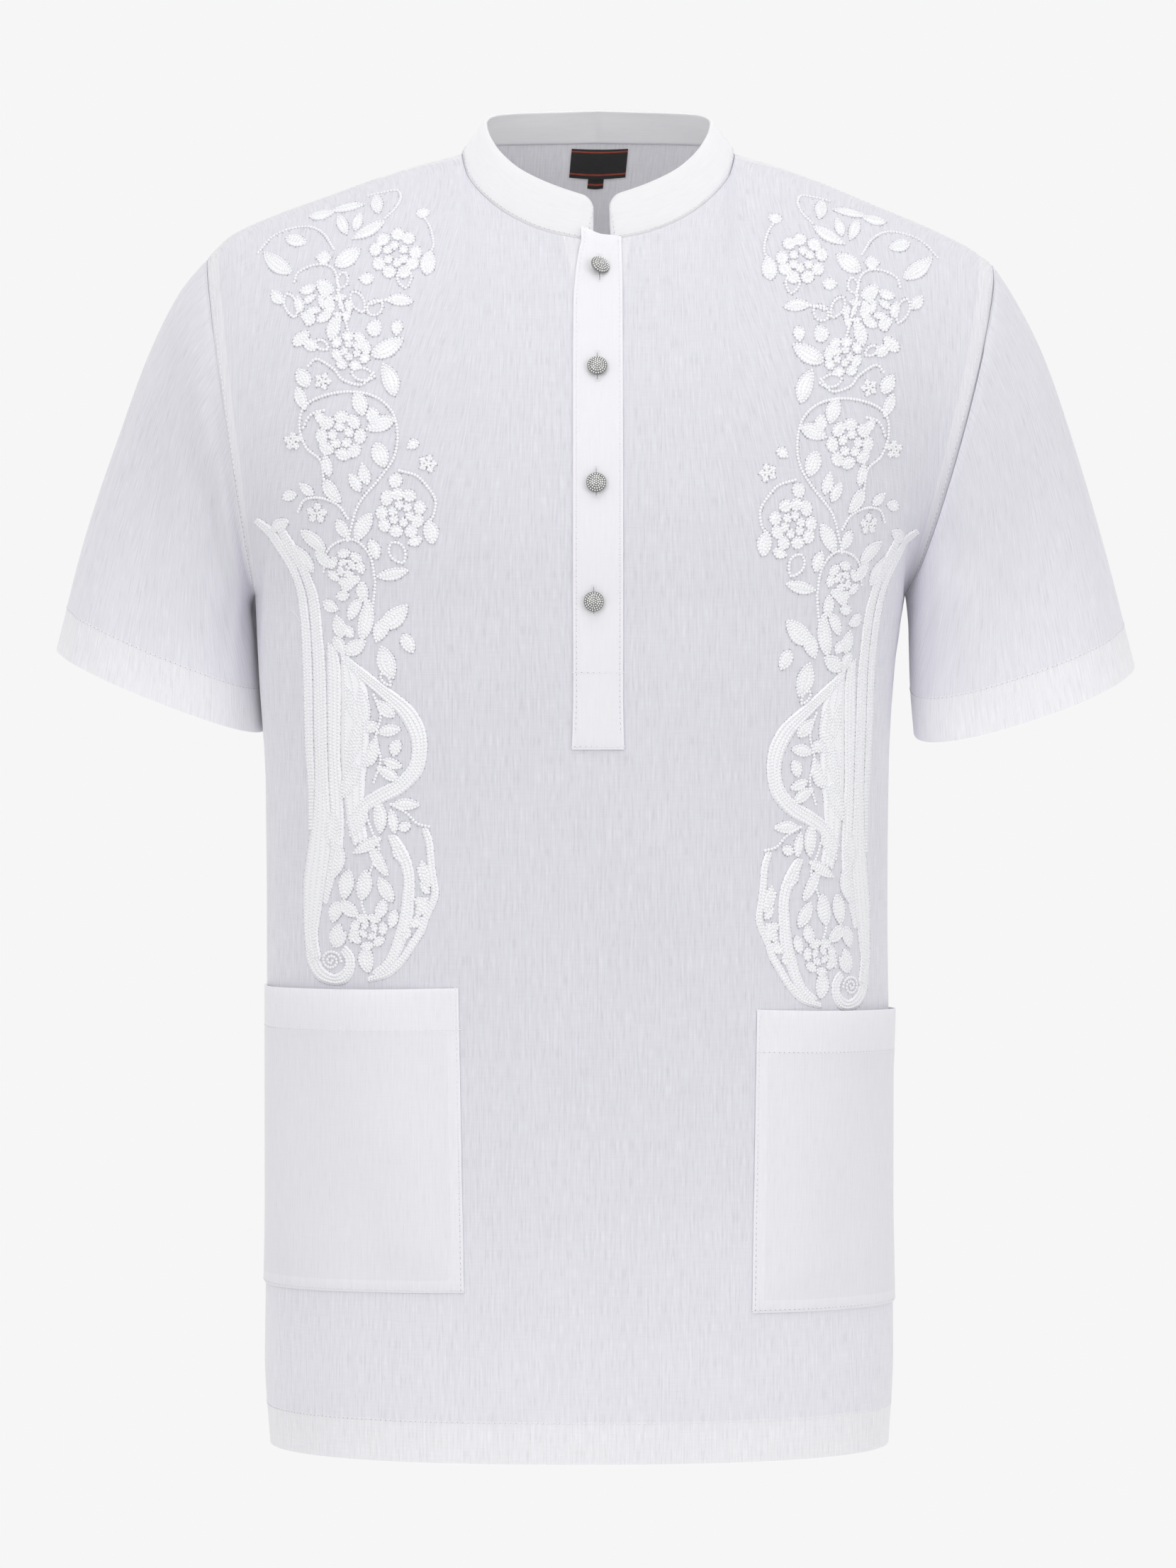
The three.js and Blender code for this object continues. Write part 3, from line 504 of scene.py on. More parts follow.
def linear(code):
    """A linear colour from an sRGB hex value such as "e0dfe7"."""
    parts = [int(code[i : i + 2], 16) / 255 for i in (0, 2, 4)]
    return [p / 12.92 if p <= 0.04045 else ((p + 0.055) / 1.055) ** 2.4 for p in parts]


def put(tree, kind, settings=None, links=None):
    """Adds a node. settings: its properties, or its inputs' values by name or number. links: what
    feeds its inputs."""
    node = tree.nodes.new(kind)
    for name, value in (settings or {}).items():
        if isinstance(name, str) and hasattr(node, name):
            setattr(node, name, value)
        else:
            node.inputs[name].default_value = value
    for name, source in (links or {}).items():
        tree.links.new(source, node.inputs[name])
    return node


def new_material(name):
    material = bpy.data.materials.new(name)
    material.use_nodes = True
    material.node_tree.nodes.clear()
    return material, material.node_tree


def rgba(colour):
    return (*colour, 1.0)


def slub_cotton(name, single, double, sheer, slub):
    """Sheer slub cotton, plain weave, mill washed: matt, with thick and thin yarns that show as
    fine upright streaks, and whiter wherever the cloth lies double, because less of the dark
    hollow shows through it. sheer: how much of its light comes from within and from behind.
    slub: how strongly the uneven yarns show."""
    material, tree = new_material(name)
    cloth = put(tree, "ShaderNodeUVMap", {"uv_map": "cloth"}).outputs[0]
    double_at = put(tree, "ShaderNodeAttribute", {"attribute_name": "turned"}).outputs["Fac"]
    yarns = {}
    for part, across, up, detail in (  # a pattern's features are 1 / across by 1 / up metres in size
        ("streaks", 1150, 26, 2.0),  # warp yarns, drawn 0.9 mm wide so that they show
        ("thick", 900, 95, 0.0),  # short thick places in the yarns, 1 by 10 mm
        ("weft", 55, 1000, 1.0),  # level yarns, 1 mm apart
        ("cloud", 16, 16, 2.0),  # unevenness of hand-woven cloth, 60 mm across
    ):
        place = put(tree, "ShaderNodeMapping", {"Scale": (across, up, 1)}, {"Vector": cloth})
        settings = {"Scale": 1.0, "Detail": detail, "Roughness": 0.55, "noise_dimensions": "2D"}
        noise = put(tree, "ShaderNodeTexNoise", settings, {"Vector": place.outputs[0]})
        yarns[part] = noise.outputs["Fac"]
    tones = []
    for part, low, high, dark, light in (  # from dark to light while a pattern goes from low to high
        ("streaks", 0.3, 0.7, 0.045, 0.03),
        ("weft", 0.3, 0.7, 0.012, 0.01),
        ("thick", 0.62, 0.8, 0.0, 0.05),
        ("thick", 0.36, 0.2, 0.0, -0.07),
        ("cloud", 0.3, 0.7, 0.012, 0.008),
    ):
        settings = {"From Min": low, "From Max": high, "To Min": 1 - dark * slub, "To Max": 1 + light * slub}
        tones.append(put(tree, "ShaderNodeMapRange", settings, {"Value": yarns[part]}).outputs[0])
    weave = tones[0]
    for tone in tones[1:]:
        settings = {"operation": "MULTIPLY"}
        weave = put(tree, "ShaderNodeMath", settings, {0: weave, 1: tone}).outputs[0]
    settings = {"interpolation_type": "SMOOTHSTEP", "From Min": -0.0005, "From Max": 0.0005}
    doubled = put(tree, "ShaderNodeMapRange", settings, {"Value": double_at}).outputs[0]
    settings = {"data_type": "RGBA", 6: rgba(linear(single)), 7: rgba(linear(double))}
    plies = put(tree, "ShaderNodeMix", settings, {0: doubled}).outputs["Result"]
    colour = put(
        tree, "ShaderNodeVectorMath", {"operation": "SCALE"}, {0: plies, "Scale": weave}
    ).outputs[0]
    relief = put(
        tree, "ShaderNodeMath", {"operation": "ADD"}, {0: yarns["streaks"], 1: yarns["weft"]}
    ).outputs[0]
    settings = {"Strength": 0.3 * slub, "Distance": 0.0003}
    bump = put(tree, "ShaderNodeBump", settings, {"Height": relief}).outputs[0]
    finish = {
        "Roughness": 0.88,
        "Specular IOR Level": 0.25,
        "Sheen Weight": 0.2,
        "Sheen Roughness": 0.5,
        "Subsurface Weight": sheer,
        "Subsurface Radius": (1.0, 1.0, 1.0),
        "Subsurface Scale": 0.006,
    }
    shader = put(tree, "ShaderNodeBsdfPrincipled", finish, {"Base Color": colour, "Normal": bump})
    put(tree, "ShaderNodeOutputMaterial", links={"Surface": shader.outputs[0]})
    return material


def cotton_thread(name, colour):
    """Mercerised cotton sewing thread, twisted: bright white with a slight silk sheen."""
    material, tree = new_material(name)
    place = put(tree, "ShaderNodeTexCoord").outputs["Object"]
    settings = {"Scale": 1400.0, "Detail": 2.0}
    twist = put(tree, "ShaderNodeTexNoise", settings, {"Vector": place}).outputs["Fac"]
    settings = {"From Min": 0.3, "From Max": 0.7, "To Min": 0.95, "To Max": 1.03}
    light = put(tree, "ShaderNodeMapRange", settings, {"Value": twist}).outputs[0]
    settings = {"operation": "SCALE", 0: linear(colour)}
    tone = put(tree, "ShaderNodeVectorMath", settings, {"Scale": light}).outputs[0]
    settings = {"Strength": 0.3, "Distance": 0.0002}
    bump = put(tree, "ShaderNodeBump", settings, {"Height": twist}).outputs[0]
    finish = {"Roughness": 0.6, "Specular IOR Level": 0.35, "Sheen Weight": 0.2}
    shader = put(tree, "ShaderNodeBsdfPrincipled", finish, {"Base Color": tone, "Normal": bump})
    put(tree, "ShaderNodeOutputMaterial", links={"Surface": shader.outputs[0]})
    return material


def nickel_plate(name, colour, glint):
    """Cast zinc with a dull nickel plate: a grey metal, with painted shade on the ground between its pebbles
    and painted highlights on the pebbles."""
    material, tree = new_material(name)
    place = put(tree, "ShaderNodeTexCoord").outputs["Object"]
    raised = put(tree, "ShaderNodeAttribute", {"attribute_name": "raised"}).outputs["Fac"]
    settings = {"Scale": 900.0, "Detail": 3.0}
    grain = put(tree, "ShaderNodeTexNoise", settings, {"Vector": place}).outputs["Fac"]
    settings = {"From Min": 0.3, "From Max": 0.7, "To Min": 0.28, "To Max": 0.5}
    rough = put(tree, "ShaderNodeMapRange", settings, {"Value": grain}).outputs[0]
    settings = {"From Min": 0.3, "From Max": 0.7, "To Min": 0.85, "To Max": 1.05}
    light = put(tree, "ShaderNodeMapRange", settings, {"Value": grain}).outputs[0]
    settings = {"data_type": "RGBA", 6: rgba(linear(colour)), 7: rgba(linear(glint))}
    # the dark ground is painted shade between the pebbles, the bright pebbles are painted highlights
    base = put(tree, "ShaderNodeMix", settings, {0: raised}).outputs["Result"]
    settings = {"operation": "SCALE"}
    tone = put(tree, "ShaderNodeVectorMath", settings, {0: base, "Scale": light}).outputs[0]
    settings = {"Strength": 0.25, "Distance": 0.0002}
    bump = put(tree, "ShaderNodeBump", settings, {"Height": grain}).outputs[0]
    links = {"Base Color": tone, "Roughness": rough, "Normal": bump}
    shader = put(tree, "ShaderNodeBsdfPrincipled", {"Metallic": 1.0}, links)
    put(tree, "ShaderNodeOutputMaterial", links={"Surface": shader.outputs[0]})
    return material


def woven_satin(name, ground, band):
    """Polyester label satin, woven: black with a low sheen, and two plain rust bands across it."""
    material, tree = new_material(name)
    cloth = put(tree, "ShaderNodeUVMap", {"uv_map": "cloth"}).outputs[0]
    ribs = put(tree, "ShaderNodeMapping", {"Scale": (300, 2600, 1)}, {"Vector": cloth}).outputs[0]
    settings = {"Scale": 1.0, "Detail": 2.0, "noise_dimensions": "2D"}
    yarn = put(tree, "ShaderNodeTexNoise", settings, {"Vector": ribs}).outputs["Fac"]
    up = put(tree, "ShaderNodeSeparateXYZ", links={0: cloth}).outputs["Y"]
    # the bands repeat every 21 mm and are 1.1 mm wide
    settings = {"operation": "PINGPONG", 1: 0.0105}
    from_fold = put(tree, "ShaderNodeMath", settings, {0: up}).outputs[0]
    edges = []
    for low, high in ((0.0036, 0.0032), (0.0021, 0.0025)):
        settings = {"interpolation_type": "SMOOTHSTEP", "From Min": low, "From Max": high}
        edges.append(put(tree, "ShaderNodeMapRange", settings, {"Value": from_fold}).outputs[0])
    settings = {"operation": "MULTIPLY"}
    line = put(tree, "ShaderNodeMath", settings, {0: edges[0], 1: edges[1]}).outputs[0]
    settings = {"data_type": "RGBA", 6: rgba(linear(ground)), 7: rgba(linear(band))}
    both = put(tree, "ShaderNodeMix", settings, {0: line}).outputs["Result"]
    settings = {"From Min": 0.3, "From Max": 0.7, "To Min": 0.7, "To Max": 1.3}
    light = put(tree, "ShaderNodeMapRange", settings, {"Value": yarn}).outputs[0]
    settings = {"operation": "SCALE"}
    tone = put(tree, "ShaderNodeVectorMath", settings, {0: both, "Scale": light}).outputs[0]
    settings = {"Strength": 0.3, "Distance": 0.0001}
    bump = put(tree, "ShaderNodeBump", settings, {"Height": yarn}).outputs[0]
    finish = {"Roughness": 0.55, "Sheen Weight": 0.3}
    shader = put(tree, "ShaderNodeBsdfPrincipled", finish, {"Base Color": tone, "Normal": bump})
    put(tree, "ShaderNodeOutputMaterial", links={"Surface": shader.outputs[0]})
    return material


def studio_paper(name, colour):
    """Seamless background paper, evenly lit on its own, so that it looks flat and nearly white.
    The light that it gives the tunic is weaker from the side of the camera than from behind."""
    material, tree = new_material(name)
    place = put(tree, "ShaderNodeTexCoord").outputs["Object"]
    away = put(tree, "ShaderNodeSeparateXYZ", links={0: place}).outputs["Y"]
    settings = {"From Min": -SWEEP_RADIUS, "From Max": SWEEP_RADIUS, "To Min": PAPER_BEFORE, "To Max": 1.0}
    given = put(tree, "ShaderNodeMapRange", settings, {"Value": away}).outputs[0]
    seen = put(tree, "ShaderNodeLightPath").outputs["Is Camera Ray"]
    settings = {"data_type": "FLOAT", 3: 1.0}
    light = put(tree, "ShaderNodeMix", settings, {0: seen, 2: given}).outputs[0]
    settings = {"Color": rgba(linear(colour))}
    shader = put(tree, "ShaderNodeEmission", settings, {"Strength": light})
    put(tree, "ShaderNodeOutputMaterial", links={"Surface": shader.outputs[0]})
    return material


MATERIALS = {}


def material_of(kind):
    """One material of each kind, made when it is first asked for."""
    colours = bpy.context.scene.fatua_colours

    def code(name):
        return "%02x%02x%02x" % tuple(round(255 * value) for value in getattr(colours, name))

    def cotton(name, single, double, sheer, slub):
        return slub_cotton(name, code(single), code(double), sheer, slub)

    makers = {
        "ply": lambda: cotton("slub_cotton_single", "ply", "turned", 0.5, 1.0),
        "pocket": lambda: cotton("slub_cotton_pocket", "pocket", "pocket_turned", 0.2, 0.35),
        "collar": lambda: cotton("slub_cotton_collar", "collar", "collar", 0.95, 0.2),
        "placket": lambda: cotton("slub_cotton_placket", "placket", "placket", 0.35, 0.2),
        "thread": lambda: cotton_thread("cotton_sewing_thread", code("thread")),
        "embroidery": lambda: cotton_thread("cotton_embroidery_thread", code("embroidery")),
        # the dark thread of the needle holes and buttonhole cuts is painted shade
        "hole": lambda: cotton_thread("cotton_thread_in_shadow", code("hole")),
        "metal": lambda: nickel_plate("nickel_plated_zinc", code("metal"), code("pebble_glint")),
        "label": lambda: woven_satin("woven_label_satin", code("label"), code("band")),
    }
    if kind not in MATERIALS:
        MATERIALS[kind] = makers[kind]()
    return MATERIALS[kind]


# ---- stitches along lines -------------------------------------------------------------------

STITCH_SIZES = ("Pitch", "Length", "Width", "Height")
STITCH_FORM = ("Sides", "Rings")
ROUND = (7, 3)  # sides and rings of a stitch
COARSE = (5, 2)  # the same of a needle hole's dark grain of painted shade, which is too small to show them


def stitch_tree():
    """Geometry Nodes: fat little stitches end to end along the edges of a mesh."""
    tree = bpy.data.node_groups.new("stitches_along_lines", "GeometryNodeTree")
    face = tree.interface
    face.new_socket("Geometry", in_out="INPUT", socket_type="NodeSocketGeometry")
    for name in STITCH_SIZES:
        face.new_socket(name, in_out="INPUT", socket_type="NodeSocketFloat")
    for name in STITCH_FORM:
        face.new_socket(name, in_out="INPUT", socket_type="NodeSocketInt")
    face.new_socket("Material", in_out="INPUT", socket_type="NodeSocketMaterial")
    face.new_socket("Geometry", in_out="OUTPUT", socket_type="NodeSocketGeometry")
    start = put(tree, "NodeGroupInput").outputs
    curve = put(tree, "GeometryNodeMeshToCurve", links={0: start["Geometry"]}).outputs[0]
    links = {"Curve": curve, "Length": start["Pitch"]}
    steps = put(tree, "GeometryNodeResampleCurve", {"mode": "LENGTH"}, links).outputs[0]
    settings = {"data_type": "FLOAT_VECTOR", "Name": "out"}
    out = put(tree, "GeometryNodeInputNamedAttribute", settings).outputs[0]
    upright = put(tree, "FunctionNodeAlignRotationToVector", {"axis": "Z"}, {"Vector": out}).outputs[0]
    tangent = put(tree, "GeometryNodeInputTangent").outputs[0]
    settings, links = {"axis": "X", "pivot_axis": "Z"}, {"Rotation": upright, "Vector": tangent}
    turned = put(tree, "FunctionNodeAlignRotationToVector", settings, links).outputs[0]
    links = {"Segments": start["Sides"], "Rings": start["Rings"]}
    grain = put(tree, "GeometryNodeMeshUVSphere", {"Radius": 0.5}, links).outputs["Mesh"]
    links = {0: start["Length"], 1: start["Width"], 2: start["Height"]}
    size = put(tree, "ShaderNodeCombineXYZ", links=links).outputs[0]
    links = {"Points": steps, "Instance": grain, "Rotation": turned, "Scale": size}
    placed = put(tree, "GeometryNodeInstanceOnPoints", links=links).outputs[0]
    real = put(tree, "GeometryNodeRealizeInstances", links={0: placed}).outputs[0]
    rounded = put(tree, "GeometryNodeSetShadeSmooth", links={0: real}).outputs[0]
    links = {"Geometry": rounded, "Material": start["Material"]}
    painted = put(tree, "GeometryNodeSetMaterial", links=links).outputs[0]
    put(tree, "NodeGroupOutput", links={0: painted})
    return tree


def stitched(name, lines, pitch, size, material, form=ROUND):
    """Stitches along lines. A line is its points and the cloth's normals there, in millimetres.
    size: length, width and height of one stitch. form: its sides and rings."""
    vertices, edges, outs = [], [], []
    for points, normals in lines:
        first = len(vertices)
        vertices.extend((np.asarray(points) * MM).tolist())
        outs.extend(np.asarray(normals).tolist())
        edges.extend((first + i, first + i + 1) for i in range(len(points) - 1))
    mesh = bpy.data.meshes.new(name)
    mesh.from_pydata(vertices, edges, [])
    out = mesh.attributes.new("out", "FLOAT_VECTOR", "POINT")
    out.data.foreach_set("vector", np.array(outs, np.float32).ravel())
    carrier = new_object(name + "_lines", mesh)
    tree = bpy.data.node_groups.get("stitches_along_lines") or stitch_tree()
    modifier = carrier.modifiers.new("stitches", "NODES")
    modifier.node_group = tree
    sockets = {item.name: item.identifier for item in tree.interface.items_tree if item.in_out == "INPUT"}
    for socket, value in zip(STITCH_SIZES, (pitch, *size)):
        modifier[sockets[socket]] = value * MM
    for socket, value in zip(STITCH_FORM, form):
        modifier[sockets[socket]] = value
    modifier[sockets["Material"]] = material
    seen = carrier.evaluated_get(bpy.context.evaluated_depsgraph_get())
    made = bpy.data.meshes.new_from_object(seen)
    carrier.modifiers.remove(modifier)
    bpy.data.objects.remove(carrier)
    made.name = name
    if not made.materials:
        made.materials.append(material)
    return new_object(name, made)


# ---- the pieces -----------------------------------------------------------------------------

QUARTER = 262.0  # cloth from the centre line to the side seam, near enough everywhere
SLIT_HALF = 0.6  # from the centre line to the cut edges of the slit
CUFF_SHOWN = 26.5  # depth of a cuff's turned hem as it shows through
POCKET_HEM_SHOWN = 24.5
# Depths of the turned cloth along the seams, as they show through.
ALLOWANCE = {"armhole": 11, "side": 7, "shoulder": 9, "underarm": 4.5, "pocket": 7, "collar": 4}
SEAM_SINK, SEAM_WIDE = 0.7, 1.6  # how far the cloth dips into its seams, and how far from them
# Walls of the pieces that aren't a single ply.
THICK = {"collar": 1.5, "over": 1.3, "under": 0.9, "pocket": 0.8, "label": 0.4, "tab": 0.35}
GRIDS = {}  # the finished grids of the cut pieces, for what is sewn on them


def panel_columns():
    """Column shares of a panel, close together along the slit and the side seams."""
    half = [0, SLIT_HALF / QUARTER, 6 / QUARTER, PLACKET_HALF / QUARTER]
    half += list(np.linspace(0.078, NECK_CHEST, 14))
    half += list(np.linspace(NECK_CHEST, 0.97, 36))[1:]
    half += [1 - 5 / QUARTER, 1 - 2.8 / QUARTER, 1 - 1.2 / QUARTER, 1]
    half = np.unique(np.round(half, 5))
    return np.concatenate([-half[:0:-1], half])


def panel_rows():
    levels = list(np.linspace(HEM_Z, CHEST_Z, 96))[:-1]
    levels = sorted(set(levels) | {SLIT_END_Z})
    shares = list(np.linspace(0, 0.96, 50)) + [0.975, 0.986, 0.995, 1.0]
    return levels, shares


def make_panel(face):
    """The grid of the front or the back with its folds, and how far each point is from the edges."""
    across = panel_columns()
    if face == "back":
        across = across[::-1]
    levels, shares = panel_rows()
    flat = panel_points(face, across, levels, shares)
    normals = normals_of(flat)
    up = lengths_along(flat, 0)
    wide = lengths_along(flat, 1)
    from_side = np.minimum(wide, wide[:, -1:] - wide)
    from_top = up[-1:] - up
    edge = np.minimum(from_side, np.where(np.abs(across) < NECK_CHEST, 1e3, from_top))
    height = fold_height(FOLDS[face], across if face == "front" else -across, flat[..., 2])
    height *= smooth(0, 16, from_side) * smooth(0, 25, from_top)
    height -= SEAM_SINK * np.exp(-((edge / SEAM_WIDE) ** 2))
    points = flat + normals * height[..., None]
    middle = np.argmin(np.abs(across))
    uv = np.stack([wide - wide[:, middle : middle + 1], up], axis=-1)
    grid = {
        "points": points,
        "normals": normals_of(points),
        "across": across,
        "uv": uv,
        "from_side": from_side,
        "from_top": from_top,
        "up": up,
    }
    GRIDS[face] = grid
    return grid


def panel_turnings(grid, face):
    """Signed distance into the doubled cloth of a panel: hem, seam allowances, placket."""
    x, z = grid["points"][..., 0], grid["points"][..., 2]
    hem = HEM_SHOWN - grid["up"]
    wide = np.where(z > CHEST_Z - 8, ALLOWANCE["armhole"], ALLOWANCE["side"])
    shoulder = np.where(
        np.abs(grid["across"]) >= NECK_CHEST, ALLOWANCE["shoulder"] - grid["from_top"], -50
    )
    field = np.maximum(np.maximum(hem, wide - grid["from_side"]), shoulder)
    if face == "front":
        # the placket's allowance shows beside it, widest under the collar
        left_edge = np.interp(z, [-84, -69, -45], [-13, -15.2, -20.2])
        right_edge = np.interp(z, [-72, -60, -45], [13, 16.3, 18.2])
        behind = np.minimum(np.minimum(x - 10, 17 - x), 0.05)
        beside = np.maximum(np.minimum(x - left_edge, right_edge - x), behind)
        field = np.maximum(field, np.where(z > PLACKET_END_Z, beside, -50))
    return field


class FATUA_OT_front(bpy.types.Operator):
    """Make the front panel, slit from the neck, with its hem turned up"""

    bl_idname = "fatua.front"
    bl_label = "Front"

    def execute(self, context):
        grid = make_panel("front")
        across = grid["across"]
        slit = np.abs((across[1:] + across[:-1]) / 2) < SLIT_HALF / QUARTER
        rows = grid["points"][:-1, np.argmin(np.abs(across)), 2] > SLIT_END_Z - 1
        cloth = {"keep": ~(rows[:, None] & slit[None, :]), "turned": panel_turnings(grid, "front")}
        piece = cut_piece("front_panel", grid, size_of("wall"), "ply", "cotton_ply", "front", **cloth)
        return {"FINISHED"}


class FATUA_OT_back(bpy.types.Operator):
    """Make the back panel, with its hem turned up"""

    bl_idname = "fatua.back"
    bl_label = "Back"

    def execute(self, context):
        grid = make_panel("back")
        turned = panel_turnings(grid, "back")
        piece = cut_piece(
            "back_panel", grid, size_of("wall"), "ply", "cotton_ply", "back", turned=turned
        )
        return {"FINISHED"}


def make_sleeve(side):
    """The grid of a sleeve: rows from the armhole to the cuff, each a ring from the outer edge
    over the front, the underarm and the back."""
    around = 120
    turn = 2 * np.pi * np.arange(around) / around
    s, c = np.sin(turn), np.cos(turn)
    shares = np.concatenate([[0, 0.005, 0.012, 0.02], np.linspace(0.03, 0.99, 58), [1.0]])
    outward = -1 if side == "left" else 1
    rows = []
    up = np.abs(1 - turn / np.pi)
    armhole = np.where(
        (s > 0)[:, None], armhole_points("front", side, up), armhole_points("back", side, up)
    )
    for share in shares:
        size = {name: float(v) for name, v in look(SLEEVE[side], "at", share).items()}
        out = np.array([size["outX"], size["y"], size["outZ"]])
        under = np.array([size["underX"], size["y"], size["underZ"]])
        square = np.where(c < 0, 2 / (2 + (SLEEVE_SQUARE - 2) * min(share * 3, 1)), 1)
        ring = under + (out - under) * ((1 + signed(c, square)) / 2)[:, None]
        reach = np.where(s > 0, size["front"], size["back"])
        ring[:, 1] -= reach * signed(s, square)
        ring[:, 2] -= size["dip"] * s
        ring[:, 0] += outward * ARMHOLE_BOW[side] * (1 - share) ** 2 * np.abs(s)
        behind = (c < 0) & (s <= 0)
        ring[:, 0] += np.where(behind, outward * size["hug"] * 2 * c * np.abs(s), 0)
        blend = float(smooth(0, 0.06, share))
        rows.append(armhole + (ring - armhole) * blend)
    flat = np.array(rows)
    flip = side == "left"
    normals = normals_of(flat, True, flip)
    down = lengths_along(flat, 0)
    from_cuff = down[-1:] - down
    height = fold_height(FOLDS[f"sleeve_{side}"], np.degrees(turn)[None, :], shares[:, None])
    height *= smooth(0, 0.04, shares)[:, None]
    height -= SEAM_SINK * np.exp(-((down / SEAM_WIDE) ** 2))
    points = flat + normals * height[..., None]
    ringwise = np.zeros(points.shape[:2])
    ringwise[:, 1:] = np.cumsum(np.linalg.norm(np.diff(points, axis=1), axis=-1), axis=1)
    half = ringwise[:, around // 2][:, None]
    from_under = np.abs(ringwise - half)
    grid = {
        "points": points,
        "normals": normals_of(points, True, flip),
        "uv": np.stack([ringwise, down], axis=-1),
        "from_cuff": from_cuff,
        "from_under": from_under,
    }
    GRIDS[f"sleeve_{side}"] = grid
    return grid


class FATUA_OT_sleeves(bpy.types.Operator):
    """Make the two set-in sleeves with their turned hems"""

    bl_idname = "fatua.sleeves"
    bl_label = "Sleeves"

    def execute(self, context):
        for side in ("left", "right"):
            grid = make_sleeve(side)
            seam = ALLOWANCE["underarm"] - grid["from_under"]
            piece = cut_piece(
                f"sleeve_{side}_cloth",
                grid,
                size_of("wall"),
                "ply",
                "cotton_ply",
                f"sleeve_{side}",
                closed=True,
                flip=side == "left",
                turned=np.maximum(CUFF_SHOWN - grid["from_cuff"], seam),
            )
        return {"FINISHED"}


def collar_places():
    """Turns round the neck from the left front end over the back to the right end, with each
    turn's distance from its end in degrees."""
    ends = [math.degrees(math.asin(x / NECK["half"])) for x in COLLAR_ENDS]
    near = np.concatenate([[0, 0.5, 1.1, 1.8, 2.6, 3.5, 4.6, 5.8], np.arange(7.5, 88, 2.6), [90]])
    left = [(ends[0] - step, step) for step in near]
    rest = [(turn, 90) for turn in np.arange(ends[0] - 93, -180, -3)]
    rest += [(turn, 90) for turn in np.arange(180, ends[1] + 93, -3)]
    right = [(ends[1] + step, step) for step in near[::-1]]
    return np.array(left + rest + right)


def make_collar():
    places = collar_places()
    turn, step = places[:, 0], places[:, 1]
    low, high = neck_points(turn, "seam"), neck_points(turn, "top")
    tall = np.linalg.norm(high - low, axis=1)
    along = np.minimum(np.radians(step) * NECK["half"], COLLAR_CORNER)
    drop = COLLAR_CORNER - np.sqrt(COLLAR_CORNER**2 - (COLLAR_CORNER - along) ** 2)
    levels = np.array([0, 0.03, 0.08, 0.2, 0.35, 0.5, 0.65, 0.8, 0.92, 0.97, 1])
    rise = 0.2 + (tall - drop[None, :] * levels[:, None] - 0.2) * levels[:, None]
    points = low + (high - low) * (rise / tall)[..., None]
    normals = normals_of(points, False, True)
    around = lengths_along(points, 1)
    from_end = np.minimum(around, around[:, -1:] - around)
    edge = np.minimum(np.minimum(from_end, rise), np.maximum(tall - drop - rise, 0))
    # the turned edges are rounder and thinner than the middle, which is interlined
    points = points + normals * (0.5 * smooth(0, 3, edge) - 0.35)[..., None]
    ripple = 0.5 * np.sin(np.radians(turn) * 5.3) * np.sin(np.pi * levels)[:, None]
    points += normals * ripple[..., None]
    grid = {
        "points": points,
        "normals": normals_of(points, False, True),
        "uv": np.stack([rise, around], axis=-1),
        "rise": rise,
        "from_end": from_end,
    }
    GRIDS["collar"] = grid
    return grid


class FATUA_OT_collar(bpy.types.Operator):
    """Make the stand band collar with its two rounded front ends"""

    bl_idname = "fatua.collar"
    bl_label = "Collar"

    def execute(self, context):
        grid = make_collar()
        turned = ALLOWANCE["collar"] - grid["rise"]
        collar = ("collar", "cotton_band", "collar")
        piece = cut_piece("collar_band", grid, THICK["collar"], *collar, flip=True, turned=turned)
        return {"FINISHED"}


# ---- the placket ----------------------------------------------------------------------------

# The placket's two edges, by height: it tucks in under the collar's left end.
PLACKET_EDGES = table(
    "z left right",
    (-340, -15.4, 14.8),
    (-300, -14.4, 13.9),
    (-120, -14.4, 13.8),
    (-85, -14.2, 13.8),
    (-70, -13.2, 13.7),
    (-57, -11.7, 13.4),
    (-46, -9.0, 13.2),
    (-40, -7.4, 13.0),
)
TONGUE = (10.5, 2.8)  # how far the strip's top stands up between the collar's ends, left and right
COLLAR_WAY = np.array([0, 0.447, 0.894])  # the way the collar leans at the front


